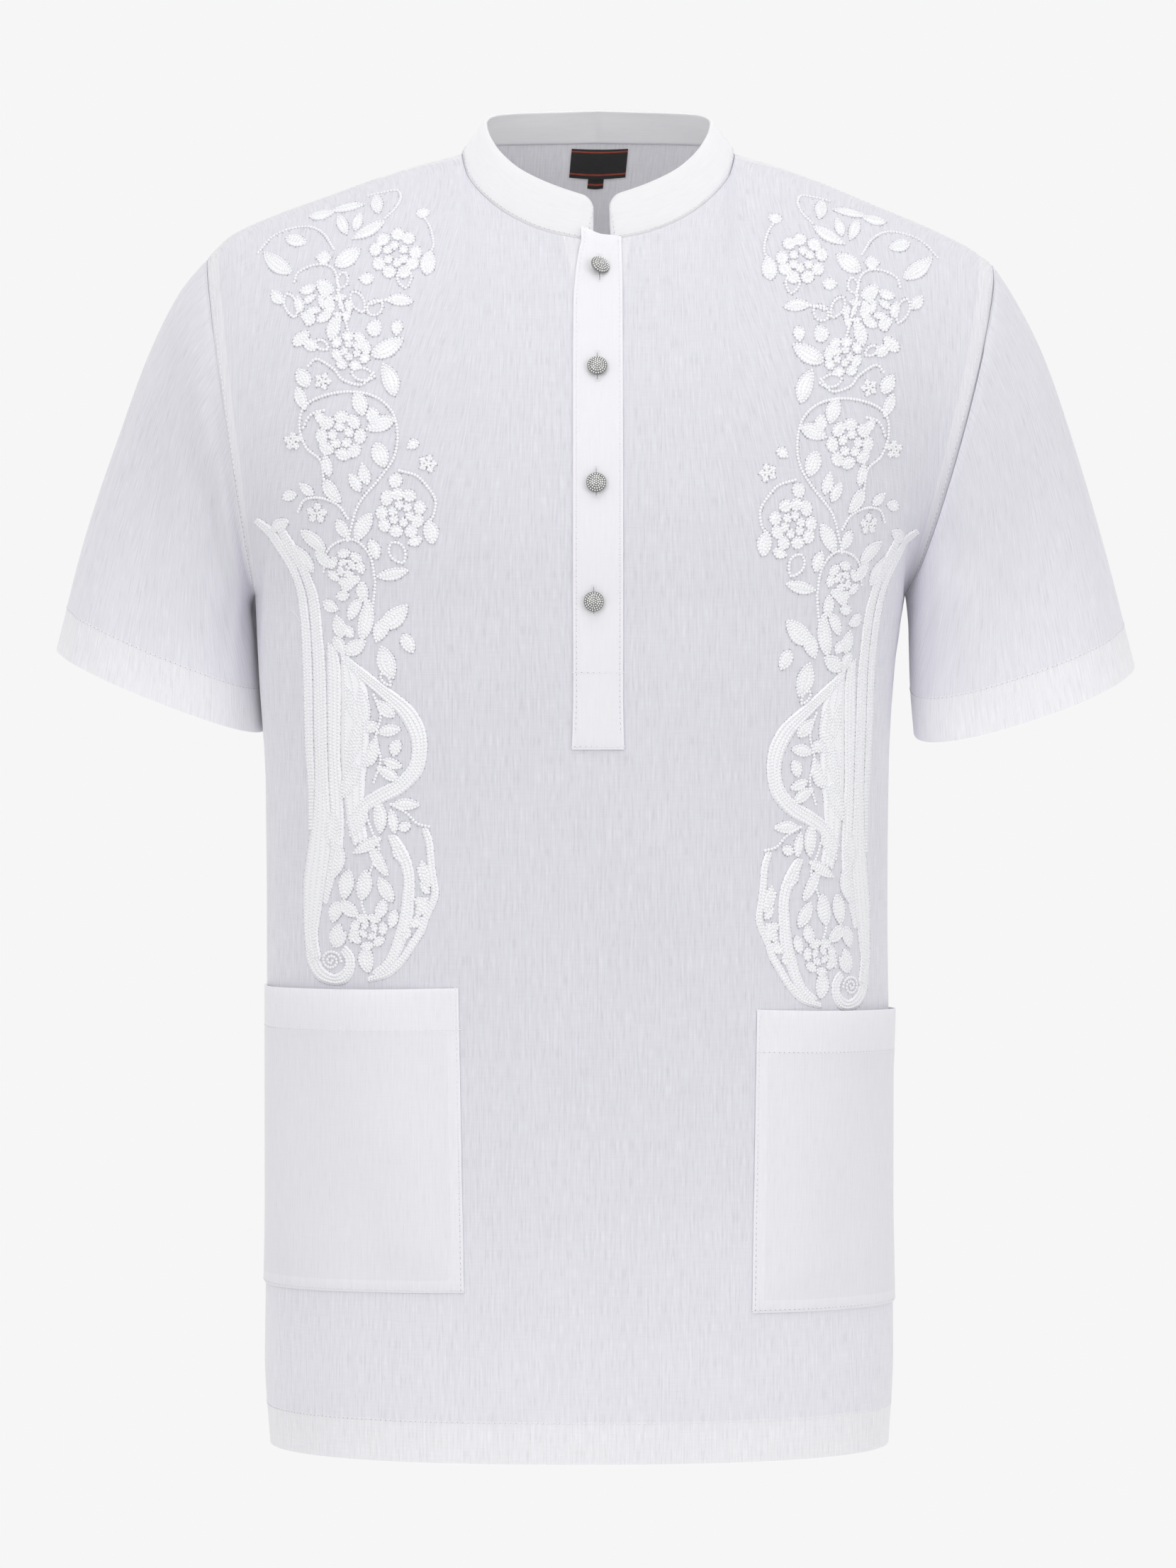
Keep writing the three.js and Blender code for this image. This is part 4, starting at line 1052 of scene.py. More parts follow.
def placket_grid(face_lift, edges, bottom, shares_to, tongue=None):
    """A strip on the front between two edges, lifted off it. tongue: how far its top stands up
    past the seam at its left and its right edge."""
    levels = np.linspace(bottom, CHEST_Z, 26)[:-1]
    shares = np.linspace(0, shares_to, 60)
    span = np.array([0, 0.03, 0.08, 0.2, 0.35, 0.5, 0.65, 0.8, 0.92, 0.97, 1])
    centre = panel_points("front", [0.0], levels, shares)[:, 0, 2]
    found = look(edges, "z", centre)
    rows = []
    for i, z in enumerate(centre):
        across = (found["left"][i] + (found["right"][i] - found["left"][i]) * span) / QUARTER
        if i < len(levels):
            rows.append(panel_points("front", across, [levels[i]], [])[0])
        else:
            rows.append(panel_points("front", across, [], [shares[i - len(levels)]])[0])
    flat = np.array(rows)
    normals = normals_of(flat)
    across_mm = found["left"][:, None] + (found["right"] - found["left"])[:, None] * span
    height = fold_height(FOLDS["front"], across_mm / QUARTER, flat[..., 2])
    up = lengths_along(flat, 0)
    from_edge = np.minimum(lengths_along(flat, 1), lengths_along(flat[:, ::-1], 1)[:, ::-1])
    edge = np.minimum(from_edge, up)
    height = height + face_lift - 0.5 * (1 - smooth(0, 2.2, edge))
    # faint waves where the strip was pressed and sewn
    height += 0.22 * np.sin(flat[..., 2] / 9.0) * np.exp(-(((from_edge - 6) / 5) ** 2))
    points = flat + normals * height[..., None]
    grid = {"uv": np.stack([across_mm, up], axis=-1), "across": across_mm, "from_edge": from_edge}
    grid["up"] = up
    if tongue:
        reach = tongue[0] + (tongue[1] - tongue[0]) * span
        for share in (0.25, 0.6, 1.0):
            row = points[len(flat) - 1] + (share * reach)[:, None] * COLLAR_WAY
            points = np.concatenate([points, row[None]])
            for name in ("across", "from_edge"):
                grid[name] = np.concatenate([grid[name], grid[name][-1:]])
            grid["up"] = np.concatenate([grid["up"], (up[-1] + share * reach)[None]])
        grid["uv"] = np.stack([grid["across"], grid["up"]], axis=-1)
    grid.update(points=points, normals=normals_of(points), z=points[..., 2])
    return grid


class FATUA_OT_placket(bpy.types.Operator):
    """Make the outer and the inner strip of the half placket"""

    bl_idname = "fatua.placket"
    bl_label = "Placket"

    def execute(self, context):
        over = placket_grid(1.9, PLACKET_EDGES, PLACKET_END_Z, 0.985, TONGUE)
        GRIDS["placket"] = over
        outer = ("placket", "cotton_band", "placket_over")
        turned = PLACKET_BOX_Z - over["z"]
        piece = cut_piece("placket_over_strip", over, THICK["over"], *outer, turned=turned)
        inner_edges = table("z left right", (-340, -14, 13.8), (-120, -14, 13.8), (-40, -13, 13))
        under = placket_grid(-1.6, inner_edges, PLACKET_END_Z + 8, 0.985)
        turned = 2.2 - under["from_edge"]
        inner = ("placket", "cotton_band", "placket_under")
        piece = cut_piece("placket_under_strip", under, THICK["under"], *inner, turned=turned)
        return {"FINISHED"}


# ---- the pockets ----------------------------------------------------------------------------


def pocket_grid(side):
    """A pocket's cloth on the front, from its inner edge to the side seam."""
    top, bottom, inner = (POCKET[side][name] for name in ("top", "bottom", "inner"))
    sign = -1 if side == "left" else 1
    near = inner + np.array([0, 0.8, 2]) / QUARTER
    span = np.concatenate([near, np.linspace(inner + 5 / QUARTER, 0.985, 38), [1.0]])
    span = span if side == "right" else span[::-1]
    low = [bottom, bottom + 0.8, bottom + 2]
    levels = np.concatenate([low, np.linspace(bottom + 6, top - 4, 42), [top - 2, top - 0.8, top]])
    # the inner corners lie higher than the side seam, and the inner edge leans inwards
    down = ((top - levels) / (top - bottom))[:, None]
    nearness = (1 - span) / (1 - inner)
    raised = POCKET[side]["raised"]
    z = levels[:, None] + (raised[0] + (raised[1] - raised[0]) * down) * nearness
    share = span - POCKET[side]["lean"] / QUARTER * down * nearness
    # those places on a regular grid of the front's form
    shares, heights = np.linspace(inner - 0.03, 1, 90), np.arange(bottom - 4, top + 14, 3.0)
    form = panel_points("front", sign * shares, heights, [])
    c = (share - shares[0]) / (shares[1] - shares[0])
    r = (z - heights[0]) / 3.0
    c0, r0 = np.minimum(c.astype(int), 88), r.astype(int)
    u, v = (r - r0)[..., None], (c - c0)[..., None]
    flat = (form[r0, c0] * (1 - v) + form[r0, c0 + 1] * v) * (1 - u)
    flat += (form[r0 + 1, c0] * (1 - v) + form[r0 + 1, c0 + 1] * v) * u
    normals = normals_of(flat)
    height = fold_height(FOLDS["front"], sign * share, z)
    wide = lengths_along(flat, 1)
    from_side = np.abs(wide - (wide[:, :1] if side == "left" else wide[:, -1:]))
    from_inner = np.abs(wide - (wide[:, -1:] if side == "left" else wide[:, :1]))
    height *= smooth(0, 16, from_side)
    from_bottom = np.broadcast_to((levels - bottom)[:, None], z.shape)
    from_top = np.broadcast_to((top - levels)[:, None], z.shape)
    edge = np.minimum(from_inner, from_bottom)
    sewn = np.minimum(edge, from_side)
    lift = 1.5 + 0.9 * smooth(2, 30, sewn) - 0.6 * (1 - smooth(0, 1.8, edge))
    # the mouth stands a little open between its two ends
    gape = smooth(6, 60, from_inner) * smooth(4, 50, from_side) * (1 - smooth(0, 45, from_top))
    lift += 1.9 * gape
    # soft bagging of the loose cloth
    lift += 0.7 * smooth(4, 26, sewn) * np.sin(flat[..., 0] / 17.0 + flat[..., 2] / 55.0)
    points = flat + normals * (height + lift)[..., None]
    return {
        "points": points,
        "normals": normals_of(points),
        "uv": np.stack([wide + 400 * sign, flat[..., 2]], axis=-1),
        "from_inner": from_inner,
        "from_bottom": from_bottom,
        "from_top": from_top,
    }


class FATUA_OT_pockets(bpy.types.Operator):
    """Make the two hip pockets, caught in the side seams, with turned upper hems"""

    bl_idname = "fatua.pockets"
    bl_label = "Pockets"

    def execute(self, context):
        for side in ("left", "right"):
            grid = pocket_grid(side)
            GRIDS[f"pocket_{side}"] = grid
            seam = ALLOWANCE["pocket"] - np.minimum(grid["from_inner"], grid["from_bottom"])
            piece = cut_piece(
                f"pocket_{side}_cloth",
                grid,
                THICK["pocket"],
                "pocket",
                "cotton_pocket",
                f"pocket_{side}",
                turned=np.maximum(POCKET_HEM_SHOWN - grid["from_top"], seam),
            )
        return {"FINISHED"}


# ---- the buttons ----------------------------------------------------------------------------


BUTTON_SHANK = 1.5  # from the placket to the button's back
BUTTON_FOOT = 4.7  # radius of the button's flat back
BUTTON_FREE = 1.3  # how far its edge may sink towards the placket


def placket_place(z, lift):
    """The point on the placket's middle line at one height, lifted off it, and the way out."""
    grid = GRIDS["placket"]
    middle = grid["points"].shape[1] // 2
    line, out = grid["points"][:, middle], grid["normals"][:, middle]
    point = np.array([0.0, *(np.interp(z, line[:, 2], line[:, k]) for k in (1, 2))])
    way = unit(np.array([0.0, *(np.interp(z, line[:, 2], out[:, k]) for k in (1, 2))]))
    return point + way * lift, way


def button_mesh(name):
    """A domed shank button with a thin rim and a face of fine pebbles, standing along +Z."""
    made = bmesh.new()
    rim = size_of("button")
    dome = rim - 0.45
    profile = [(1.6, -1.2), (1.6, 0.0), (rim - 1.3, 0.05), (rim - 0.4, 0.35), (rim, 0.75)]
    profile += [(rim, 1.1), (rim - 0.15, 1.35), (rim - 0.4, 1.42), (rim - 0.65, 1.3)]
    for degrees in (20, 34, 48, 62, 76):
        turn = math.radians(degrees)
        profile.append((dome * math.cos(turn), 0.75 + 2.45 * math.sin(turn)))
    steps = 40
    rings = []
    for radius, height in profile:
        rings.append([
            made.verts.new((radius * math.cos(a), radius * math.sin(a), height))
            for a in (2 * math.pi * k / steps for k in range(steps))
        ])
    for low, high in zip(rings, rings[1:]):
        for k in range(steps):
            made.faces.new((low[k], low[(k + 1) % steps], high[(k + 1) % steps], high[k]))
    made.faces.new(rings[-1])
    made.faces.new(rings[0][::-1])
    smooth_part = len(made.verts)
    for ring, pebbles in enumerate((1, 6, 12, 17, 22)):
        radius = (dome - 0.42) * ring / 4
        height = 0.8 + 2.45 * math.sqrt(max(1 - (radius / dome) ** 2, 0))
        for k in range(pebbles):
            turn = 2 * math.pi * k / pebbles + 0.5 * ring
            place = (radius * math.cos(turn), radius * math.sin(turn), height)
            found = bmesh.ops.create_icosphere(made, subdivisions=2, radius=0.5)
            bmesh.ops.translate(made, verts=found["verts"], vec=place)
    # raised marks the pebbles, which take a colour of painted highlights
    raised = [0.0] * smooth_part + [1.0] * (len(made.verts) - smooth_part)
    mesh = bpy.data.meshes.new(name)
    made.to_mesh(mesh)
    made.free()
    mesh.attributes.new("raised", "FLOAT", "POINT").data.foreach_set("value", raised)
    mesh.shade_smooth()
    mesh.set_sharp_from_angle(angle=math.radians(55))
    return mesh


class FATUA_OT_buttons(bpy.types.Operator):
    """Make the four pebbled shank buttons down the placket"""

    bl_idname = "fatua.buttons"
    bl_label = "Buttons"

    def execute(self, context):
        for i, (x, z, turn) in enumerate(BUTTON_ROWS):
            # a turned button stands off as far as its lower edge needs
            lean = max(BUTTON_FOOT * math.sin(math.radians(turn)) - BUTTON_FREE, 0)
            point, out = placket_place(z, BUTTON_SHANK + lean)
            point[0] += x
            mesh = button_mesh(f"button_{i + 1}_domed")
            swing = Vector((0, 0, 1)).rotation_difference(Vector(out)).to_matrix().to_4x4()
            tilt = Matrix.Rotation(math.radians(turn), 4, "Y")
            place = Matrix.Translation(Vector(point)) @ swing @ tilt
            mesh.transform(Matrix.Scale(MM, 4) @ place)
            piece = new_object(f"button_{i + 1}_domed", mesh, material_of("metal"))
            settle(piece, "silver_metal", f"button_{i + 1}")
        return {"FINISHED"}


# ---- the label ------------------------------------------------------------------------------


YOKE_LONG = 255.0  # cloth of the back from the chest line to the collar seam
# Each strip's two ends across, its top below the seam, its height, how far it lies off the back
# and how far its middle sags.
NECK_LABEL = (-15.2, 17.3, 3.5, 19, 1.2, 0.6)
SIZE_TAB = (-4.1, 5.4, 21.5, 8, 1.1, 0.1)


def label_grid(x_from, x_to, down, tall, lift, sag):
    """A strip inside the back, hanging from under the collar seam."""
    across = np.linspace(x_to, x_from, 22) / QUARTER
    ups = np.linspace(down + tall, down, 14)
    points = np.array([panel_points("back", across, [], [1 - up / YOKE_LONG])[0] for up in ups])
    normals = normals_of(points)
    middle = (across * QUARTER - (x_from + x_to) / 2) / (x_to - x_from)
    belly = 0.8 * np.cos(np.pi * middle)[None, :] * np.linspace(1, 0.2, 14)[:, None]
    points = points - normals * (lift + belly)[..., None]
    points[..., 2] -= sag * np.cos(np.pi * middle)[None, :]
    wide = np.broadcast_to(across * QUARTER, points.shape[:2])
    uv = np.stack([wide, lengths_along(points, 0)], axis=-1)
    return {"points": points, "normals": normals_of(points), "uv": uv}


class FATUA_OT_label(bpy.types.Operator):
    """Make the woven neck label and its small tab, both without any words"""

    bl_idname = "fatua.label"
    bl_label = "Label"

    def execute(self, context):
        satin = ("label", "woven_label")
        grid = label_grid(*NECK_LABEL)
        piece = cut_piece("neck_label_satin", grid, THICK["label"], *satin, "neck_label")
        grid = label_grid(*SIZE_TAB)
        tab = cut_piece("size_tab_satin", grid, THICK["tab"], *satin, "size_tab")
        return {"FINISHED"}


# ---- sewing ---------------------------------------------------------------------------------


def field_line(grid, field, value, along="rows"):
    """The line over a grid where a field crosses a value: one point in each row or column."""
    points, normals = grid["points"], grid["normals"]
    if along == "columns":
        points, normals = points.swapaxes(0, 1), normals.swapaxes(0, 1)
        field = field.T
    line, outs = [], []
    for row, out, values in zip(points, normals, field):
        cross = np.nonzero((values[:-1] - value) * (values[1:] - value) <= 0)[0]
        if len(cross) == 0:
            continue
        i = cross[0]
        share = (value - values[i]) / ((values[i + 1] - values[i]) or 1)
        line.append(row[i] + (row[i + 1] - row[i]) * share)
        outs.append(out[i] + (out[i + 1] - out[i]) * share)
    return np.array(line), unit(np.array(outs))


def lifted(line, by):
    points, outs = line
    return points + outs * by, outs


def started_late(line, by):
    """A line without its first few millimetres."""
    points, outs = line
    along = np.concatenate([[0], np.cumsum(np.linalg.norm(np.diff(points, axis=0), axis=1))])
    at = np.concatenate([[by], along[along > by]])
    both = [np.stack([np.interp(at, along, a[:, k]) for k in range(3)], axis=1) for a in line]
    return both[0], unit(both[1])


def part_of(grid, rows, columns, *fields):
    return {name: grid[name][rows, columns] for name in ("points", "normals", *fields)}


# Length, width and height of each kind of stitch.
SEWN = (2.5, 0.5, 0.35)
# a needle hole of the sewing is a dark grain of painted shade
SEWN_HOLE = (0.55, 0.5, 0.3)
BUTTONHOLE_STITCH = (0.46, 1.3, 0.4)
# the buttonhole's cut is a row of dark grains of painted shade
BUTTONHOLE_CUT = (0.9, 0.34, 0.16)
CUFF_SEWN = 25.8  # from the cuff's edge to its row of stitches
POCKET_HEM_SEWN = 23.6
BUTTONHOLE_DOWN = 8.2  # reach of a buttonhole below its button
BUTTONHOLE_UP = 9.6
BUTTONHOLE_UP_SHORT = 8.0  # above the one that is turned
EVERY = slice(None)


class FATUA_OT_topstitching(bpy.types.Operator):
    """Sew the hems, cuffs, pockets, placket and collar, and work the buttonholes"""

    bl_idname = "fatua.topstitching"
    bl_label = "Topstitching"

    def seams(self):
        lines = []
        for face in ("front", "back"):
            grid = GRIDS[face]
            lines.append(field_line(grid, grid["up"], HEM_SHOWN - 0.8, "columns"))
            half = grid["points"].shape[1] // 2
            upper = grid["points"][:, 0, 2] > CHEST_Z - 2
            for side in (slice(0, half), slice(half, None)):
                cut = part_of(grid, upper, side, "from_side")
                lines.append(field_line(cut, cut["from_side"], 3.0))
            for side in (slice(0, half // 2), slice(-half // 2, None)):
                cut = part_of(grid, EVERY, side, "from_top")
                lines.append(field_line(cut, cut["from_top"], 3.0, "columns"))
        for side in ("left", "right"):
            sleeve = GRIDS[f"sleeve_{side}"]
            points, outs = field_line(sleeve, sleeve["from_cuff"], CUFF_SEWN, "columns")
            lines.append((np.concatenate([points, points[:1]]), np.concatenate([outs, outs[:1]])))
            pocket = GRIDS[f"pocket_{side}"]
            lines.append(field_line(pocket, pocket["from_top"], POCKET_HEM_SEWN, "columns"))
            lines.append(field_line(pocket, pocket["from_inner"], 1.6))
            lines.append(field_line(pocket, pocket["from_bottom"], 1.6, "columns"))
        return lines

    def edges(self):
        """The rows close to the edges of the placket and the collar, where the holes show as dark grains of
        painted shade.
        """
        placket, collar = GRIDS["placket"], GRIDS["collar"]
        lines = [
            field_line(placket, placket["z"], PLACKET_END_Z + 1.6, "columns"),
            field_line(placket, placket["z"], PLACKET_BOX_Z, "columns"),
            field_line(collar, collar["rise"], 1.9, "columns"),
        ]
        half = placket["points"].shape[1] // 2
        for side in (slice(0, half + 1), slice(half, None)):
            cut = part_of(placket, slice(3, None), side, "from_edge")
            lines.append(field_line(cut, cut["from_edge"], 1.8))
        half = collar["points"].shape[1] // 2
        for side in (slice(0, half), slice(half, None)):
            cut = part_of(collar, slice(2, -2), side, "from_end")
            lines.append(field_line(cut, cut["from_end"], 2.4))
        return lines

    def buttonholes(self):
        """Upright buttonholes: two rows of close stitches and the cut between them, drawn as dark grains of
        painted shade.
        """
        rows, cuts = [], []
        for x, z, turn in BUTTON_ROWS:
            top = BUTTONHOLE_UP_SHORT if turn else BUTTONHOLE_UP
            reach = np.linspace(z - BUTTONHOLE_DOWN, z + top, 12)
            places = [placket_place(height, 0.0) for height in reach]
            points, outs = (np.array(part) for part in zip(*places))
            for beside in (-0.95, 0.95):
                rows.append((points + (x + beside, 0, 0) + outs * 0.1, outs))
            cuts.append((points[1:-1] + (x, 0, 0) + outs[1:-1] * 0.05, outs[1:-1]))
        return rows, cuts

    def execute(self, context):
        edges = self.edges()
        lines = [line for line in self.seams() + edges if len(line[0]) > 1]
        pitch = size_of("sewing")
        stitches = [lifted(line, 0.12) for line in lines]
        # dark grains of painted shade in the needle holes, half a stitch along from the stitches
        holes = [lifted(started_late(line, pitch / 2), 0.1) for line in lines]
        rows, cuts = self.buttonholes()
        for name, made, step, size, kind in (
            ("topstitching", stitches, pitch, SEWN, "thread"),
            ("stitch_hole_shade", holes, pitch, SEWN_HOLE, "hole"),
            ("buttonhole_stitches", rows, 0.5, BUTTONHOLE_STITCH, "thread"),
            ("buttonhole_cut_shade", cuts, 0.7, BUTTONHOLE_CUT, "hole"),
        ):
            form = COARSE if kind == "hole" else ROUND
            settle(stitched(name, made, step, size, material_of(kind), form), "cotton_band")
        return {"FINISHED"}


# ---- embroidery -----------------------------------------------------------------------------

# The motifs of the wearer's right half, in millimetres as seen from the front: x from the middle,
# z height. The other half is their mirror image, set a little lower.
FLOWERS = table(
    "x z radius petals turn",
    (-118, -55, 15, 9, 10),
    (-165, -84, 12, 6, 0),
    (-152, -87, 9, 6, 20),
    (-144, -111, 12, 8, 15),
    (-160.5, -129, 5, 5, 0),
    (-150, -161, 15, 8, 0),
    (-178, -164, 5.5, 5, 20),
    (-99.5, -177, 5.5, 5, 0),
    (-115, -206, 15, 9, 20),
    (-164, -206, 6, 5, 10),
    (-147, -238, 11, 7, 0),
    (-134, -450, 11, 7, 10),
)
LEAVES = table(
    "x z long wide turn",
    (-176, -47, 13, 6, -15), (-187, -60, 21, 8, -35), (-149, -38, 13, 5, 120), (-140, -36, 11, 5, 80),
    (-134, -41, 21, 6, 30), (-129, -26, 12, 6, 110), (-146, -28, 20, 4, 12), (-161, -32, 14, 5, 10),
    (-102, -31, 8, 5, 10), (-99, -60, 14, 8, 85), (-146, -57, 17, 9, 35), (-160, -57, 9, 7, 0),
    (-135, -69, 9, 6, 0), (-187, -80, 10, 6, -50), (-159, -74, 12, 7, -30), (-116, -82, 16, 6, -5),
    (-154, -99, 13, 7, 70), (-130, -98, 10, 8, 70), (-173, -104, 12, 6, 40), (-168, -108, 9, 6, -40),
    (-123, -109, 21, 9, 28), (-122, -128, 20, 9, -70), (-172, -127, 12, 8, -60),
    (-173, -139, 14, 6, -70), (-139, -142, 15, 8, -75), (-131, -149, 10, 7, 110),
    (-127, -154, 18, 8, 20), (-127, -172, 15, 9, -70), (-158, -178, 13, 5, -80),
    (-142, -188, 12, 6, 120), (-136, -183, 13, 6, -75), (-155, -193, 16, 7, -55),
    (-118, -187, 9, 7, 60), (-98, -217, 14, 8, -80), (-170, -192, 10, 5, -40), (-149, -215, 12, 6, -60),
    (-137, -214, 19, 8, 60), (-120, -241, 19, 6, 12), (-131, -227, 12, 6, -70), (-186, -213, 13, 6, 30),
    (-166, -222, 18, 7, -40), (-172, -232, 20, 7, -55), (-160, -232, 14, 6, -50),
    (-119, -266, 20, 10, 40), (-126, -274, 16, 8, 62), (-123, -293, 20, 10, -70),
    (-151, -272, 13, 7, -75), (-146, -275, 9, 5, -50), (-156, -260, 10, 6, -30),
    (-142, -262, 14, 6, 60), (-136, -268, 24, 8, 80), (-142, -284, 15, 8, 30), (-137, -318, 22, 6, -80),
    (-124, -320, 14, 7, -40), (-122, -333, 14, 6, 10), (-132, -331, 8, 6, 40), (-118, -343, 10, 6, 70),
    (-131, -345, 16, 6, 80), (-123, -358, 14, 6, -30), (-143, -318, 24, 6, -72),
    (-143, -342, 26, 7, 72), (-145, -362, 24, 8, 66), (-112, -376, 16, 6, 0), (-140, -386, 20, 7, 60),
    (-128, -383, 20, 7, -85), (-135, -400, 19, 6, 30), (-120, -386, 14, 5, -80),
    (-101, -417, 16, 7, -75), (-103, -436, 13, 6, 60), (-128, -409, 20, 6, -60),
    (-137, -423, 18, 8, 80), (-147, -423, 18, 8, 80), (-145, -437, 13, 7, -40),
    (-124, -426, 16, 7, -60), (-127, -437, 12, 6, 70), (-135, -467, 15, 8, -85),
    (-153, -439, 13, 7, 70), (-153, -452, 13, 7, 70), (-153, -409, 22, 8, 80), (-155, -389, 22, 8, 85),
    (-102, -415.7, 9, 4.5, -35), (-101.4, -425.2, 8, 4, -50), (-103.9, -433, 8, 4.5, -20),
    (-106.5, -445, 9, 5, 40), (-112, -452, 7, 4, 60), (-141, -332, 18, 5, 65),
    (-133, -348, 14, 5.5, 60), (-120, -352, 12, 5, -20), (-113, -389, 8, 5, 20),
    (-151, -455, 12, 6, 50), (-143, -452, 10, 5, 70), (-120, -443, 11, 5, 75), (-146, -247, 12, 6, 55),
    (-137, -252, 13, 6, 100), (-149, -254, 8, 5, 10), (-151, -283, 11, 6, -60),
    (-111, -282, 12, 7, -60), (-117, -98, 9, 6, 80), (-168, -93, 8, 5, 60), (-137, -108, 9, 6, 110),
    (-162, -150, 9, 5, -60), (-108, -166, 8, 5, 30), (-123, -196, 8, 5, 40), (-107, -222, 9, 5, 20),
    (-180, -196, 9, 5, 20),
)
# Petal-shaped outlines with bare cloth inside.
LOOPS = table(
    "x z long wide turn",
    (-113, -69, 13, 10, -80), (-179, -85, 16, 9, -70), (-149, -70, 11, 8, 80), (-140, -83, 15, 9, -60),
    (-130, -86, 12, 10, 40), (-161, -108, 10, 7, -30), (-137, -125, 15, 9, -10),
    (-117, -229, 15, 11, -60), (-124, -303, 10, 6, -50), (-116, -405, 12, 8, -60),
)
VINES = (
    ((-198, -54), (-191, -46), (-182, -41), (-169, -39), (-160, -43), (-154, -52)),
    ((-134, -21), (-125, -19), (-117, -18), (-115, -22), (-118, -28), (-124, -34)),
    ((-104, -31), (-98, -39), (-96, -50), (-99, -55)),
    ((-177, -71), (-175, -66), (-168, -62), (-160, -61), (-154, -64), (-152, -70), (-151, -76)),
    ((-132, -84), (-126, -82), (-122, -82)),
    ((-169, -120), (-164, -116), (-154, -122), (-149, -128), (-138, -131), (-131, -124)),
    (
        (-160, -186), (-162, -175), (-170, -168), (-174, -157), (-172, -145), (-162, -138),
        (-145, -135), (-130, -138), (-120, -147), (-117, -160), (-119, -173), (-127, -185),
        (-138, -198), (-142, -206),
    ),
    ((-172, -156), (-169, -150), (-165, -147), (-160, -146)),
    ((-116, -181), (-106, -184), (-100, -190), (-95, -198), (-96, -207), (-99, -211)),
    ((-175, -205), (-171, -198), (-162, -197), (-152, -201), (-146, -209)),
    ((-160, -240), (-158, -228), (-150, -222), (-141, -222), (-133, -231), (-130, -246)),
    ((-152, -76), (-148, -90), (-146, -99)),
    ((-142, -206), (-146, -222)),
    ((-130, -246), (-132, -262), (-138, -280), (-146, -290)),
    ((-121, -376), (-112, -381), (-106, -387), (-99, -389)),
    ((-137, -378), (-132, -392), (-128, -402), (-133, -415), (-138, -432), (-136, -441)),
    ((-131, -312), (-127, -324), (-130, -338), (-127, -350), (-131, -363)),
)
# Bands of chain rows side by side, between an outer and an inner edge.
BANDS = (
    (
        3,
        (
            (-200.4, -211.8), (-192.4, -219.9), (-182.9, -234.2), (-177.3, -246.1), (-174.9, -257.2),
            (-173, -276.2), (-172.5, -292), (-171.5, -320), (-170.8, -346), (-169, -367), (-169, -390),
        ),
        (
            (-198, -209), (-189, -216), (-178.5, -232), (-173.5, -245), (-171.1, -252.4),
            (-169, -268.2), (-167.8, -284.1), (-167, -315.8), (-166.5, -346.3), (-166, -367), (-167, -390),
        ),
    ),
    (
        4,
        (
            (-187.6, -215.4), (-181, -228), (-174.5, -239), (-170, -252.4), (-167.8, -268), (-166.8, -284),
            (-166, -316), (-165.5, -346), (-165.5, -367), (-167, -385), (-170, -405), (-172, -420),
            (-172.2, -433), (-171.6, -452), (-168, -468),
        ),
        (
            (-184, -213.5), (-174.2, -228.6), (-167.1, -244.5), (-163.1, -257.2), (-161.2, -276.2),
            (-159.8, -292), (-158.8, -320.6), (-158.4, -346), (-157.6, -367), (-156.4, -385),
            (-157, -405), (-159.5, -422), (-161.5, -435), (-164, -452), (-162, -466),
        ),
    ),
    (
        3,
        (
            (-158, -282), (-158, -300), (-158, -320), (-157.5, -346), (-156.8, -370), (-155.5, -390),
            (-157, -408), (-160.5, -432),
        ),
        (
            (-153, -284), (-150.5, -298), (-150.5, -320), (-150.9, -346), (-149.6, -370),
            (-148.8, -390), (-151, -408), (-158.5, -434),
        ),
    ),
    (
        3,
        ((-150, -291), (-150, -320), (-150.2, -345), (-149, -365), (-146.5, -385), (-143, -400)),
        ((-142, -293), (-134.6, -312), (-134.4, -345), (-136.5, -362), (-137, -380), (-135, -396)),
    ),
    (
        4,
        (
            (-149.7, -287.1), (-137, -297), (-124, -307), (-110.8, -317), (-104, -326), (-100.6, -336),
            (-100.6, -348), (-104, -359), (-114, -369), (-126, -375), (-136, -381), (-143, -392),
        ),
        (
            (-149, -292), (-138, -303), (-127, -313), (-117, -323), (-111.5, -332), (-109, -339),
            (-108.8, -347), (-111, -354), (-118, -361.5), (-129, -367.5), (-140, -375), (-147, -386),
        ),
    ),
    (
        3,
        (
            (-118, -394), (-112.5, -402), (-109.2, -410), (-107.7, -420), (-107.9, -430),
            (-108.4, -440), (-110.3, -449.3), (-113.5, -458), (-118, -467), (-128, -478),
        ),
        (
            (-123, -395), (-119, -405), (-115.6, -411), (-113.5, -420), (-114.3, -430),
            (-115.5, -440), (-118, -450), (-121, -460), (-125, -468), (-132, -474),
        ),
    ),
    (
        2,
        (
            (-99.5, -390), (-97, -398), (-96, -410), (-94.4, -421), (-93.5, -428), (-95.1, -434),
            (-98.9, -442), (-102, -451), (-107, -459), (-113, -468), (-122, -476.5), (-134, -480),
        ),
        (
            (-103, -391), (-100.5, -399), (-99.5, -410), (-98, -421), (-97.2, -428), (-98.6, -433),
            (-102.2, -440.5), (-105.5, -449), (-110.5, -457), (-116, -465.5), (-124, -473), (-134, -477),
        ),
    ),
    (
        3,
        (
            (-171.4, -455), (-170, -468), (-164.5, -478), (-155, -481.6), (-147, -480), (-142.8, -473),
            (-143, -464.5), (-147.5, -459),
        ),
        (
            (-164.6, -455), (-164, -463), (-161, -471), (-155, -475.5), (-150.5, -474), (-148, -470.5),
            (-148, -466.5), (-150, -463),
        ),
    ),
)
SPIRALS = ((-156, -467.5, 5, 2), (-147, -238, 4, 1.2))
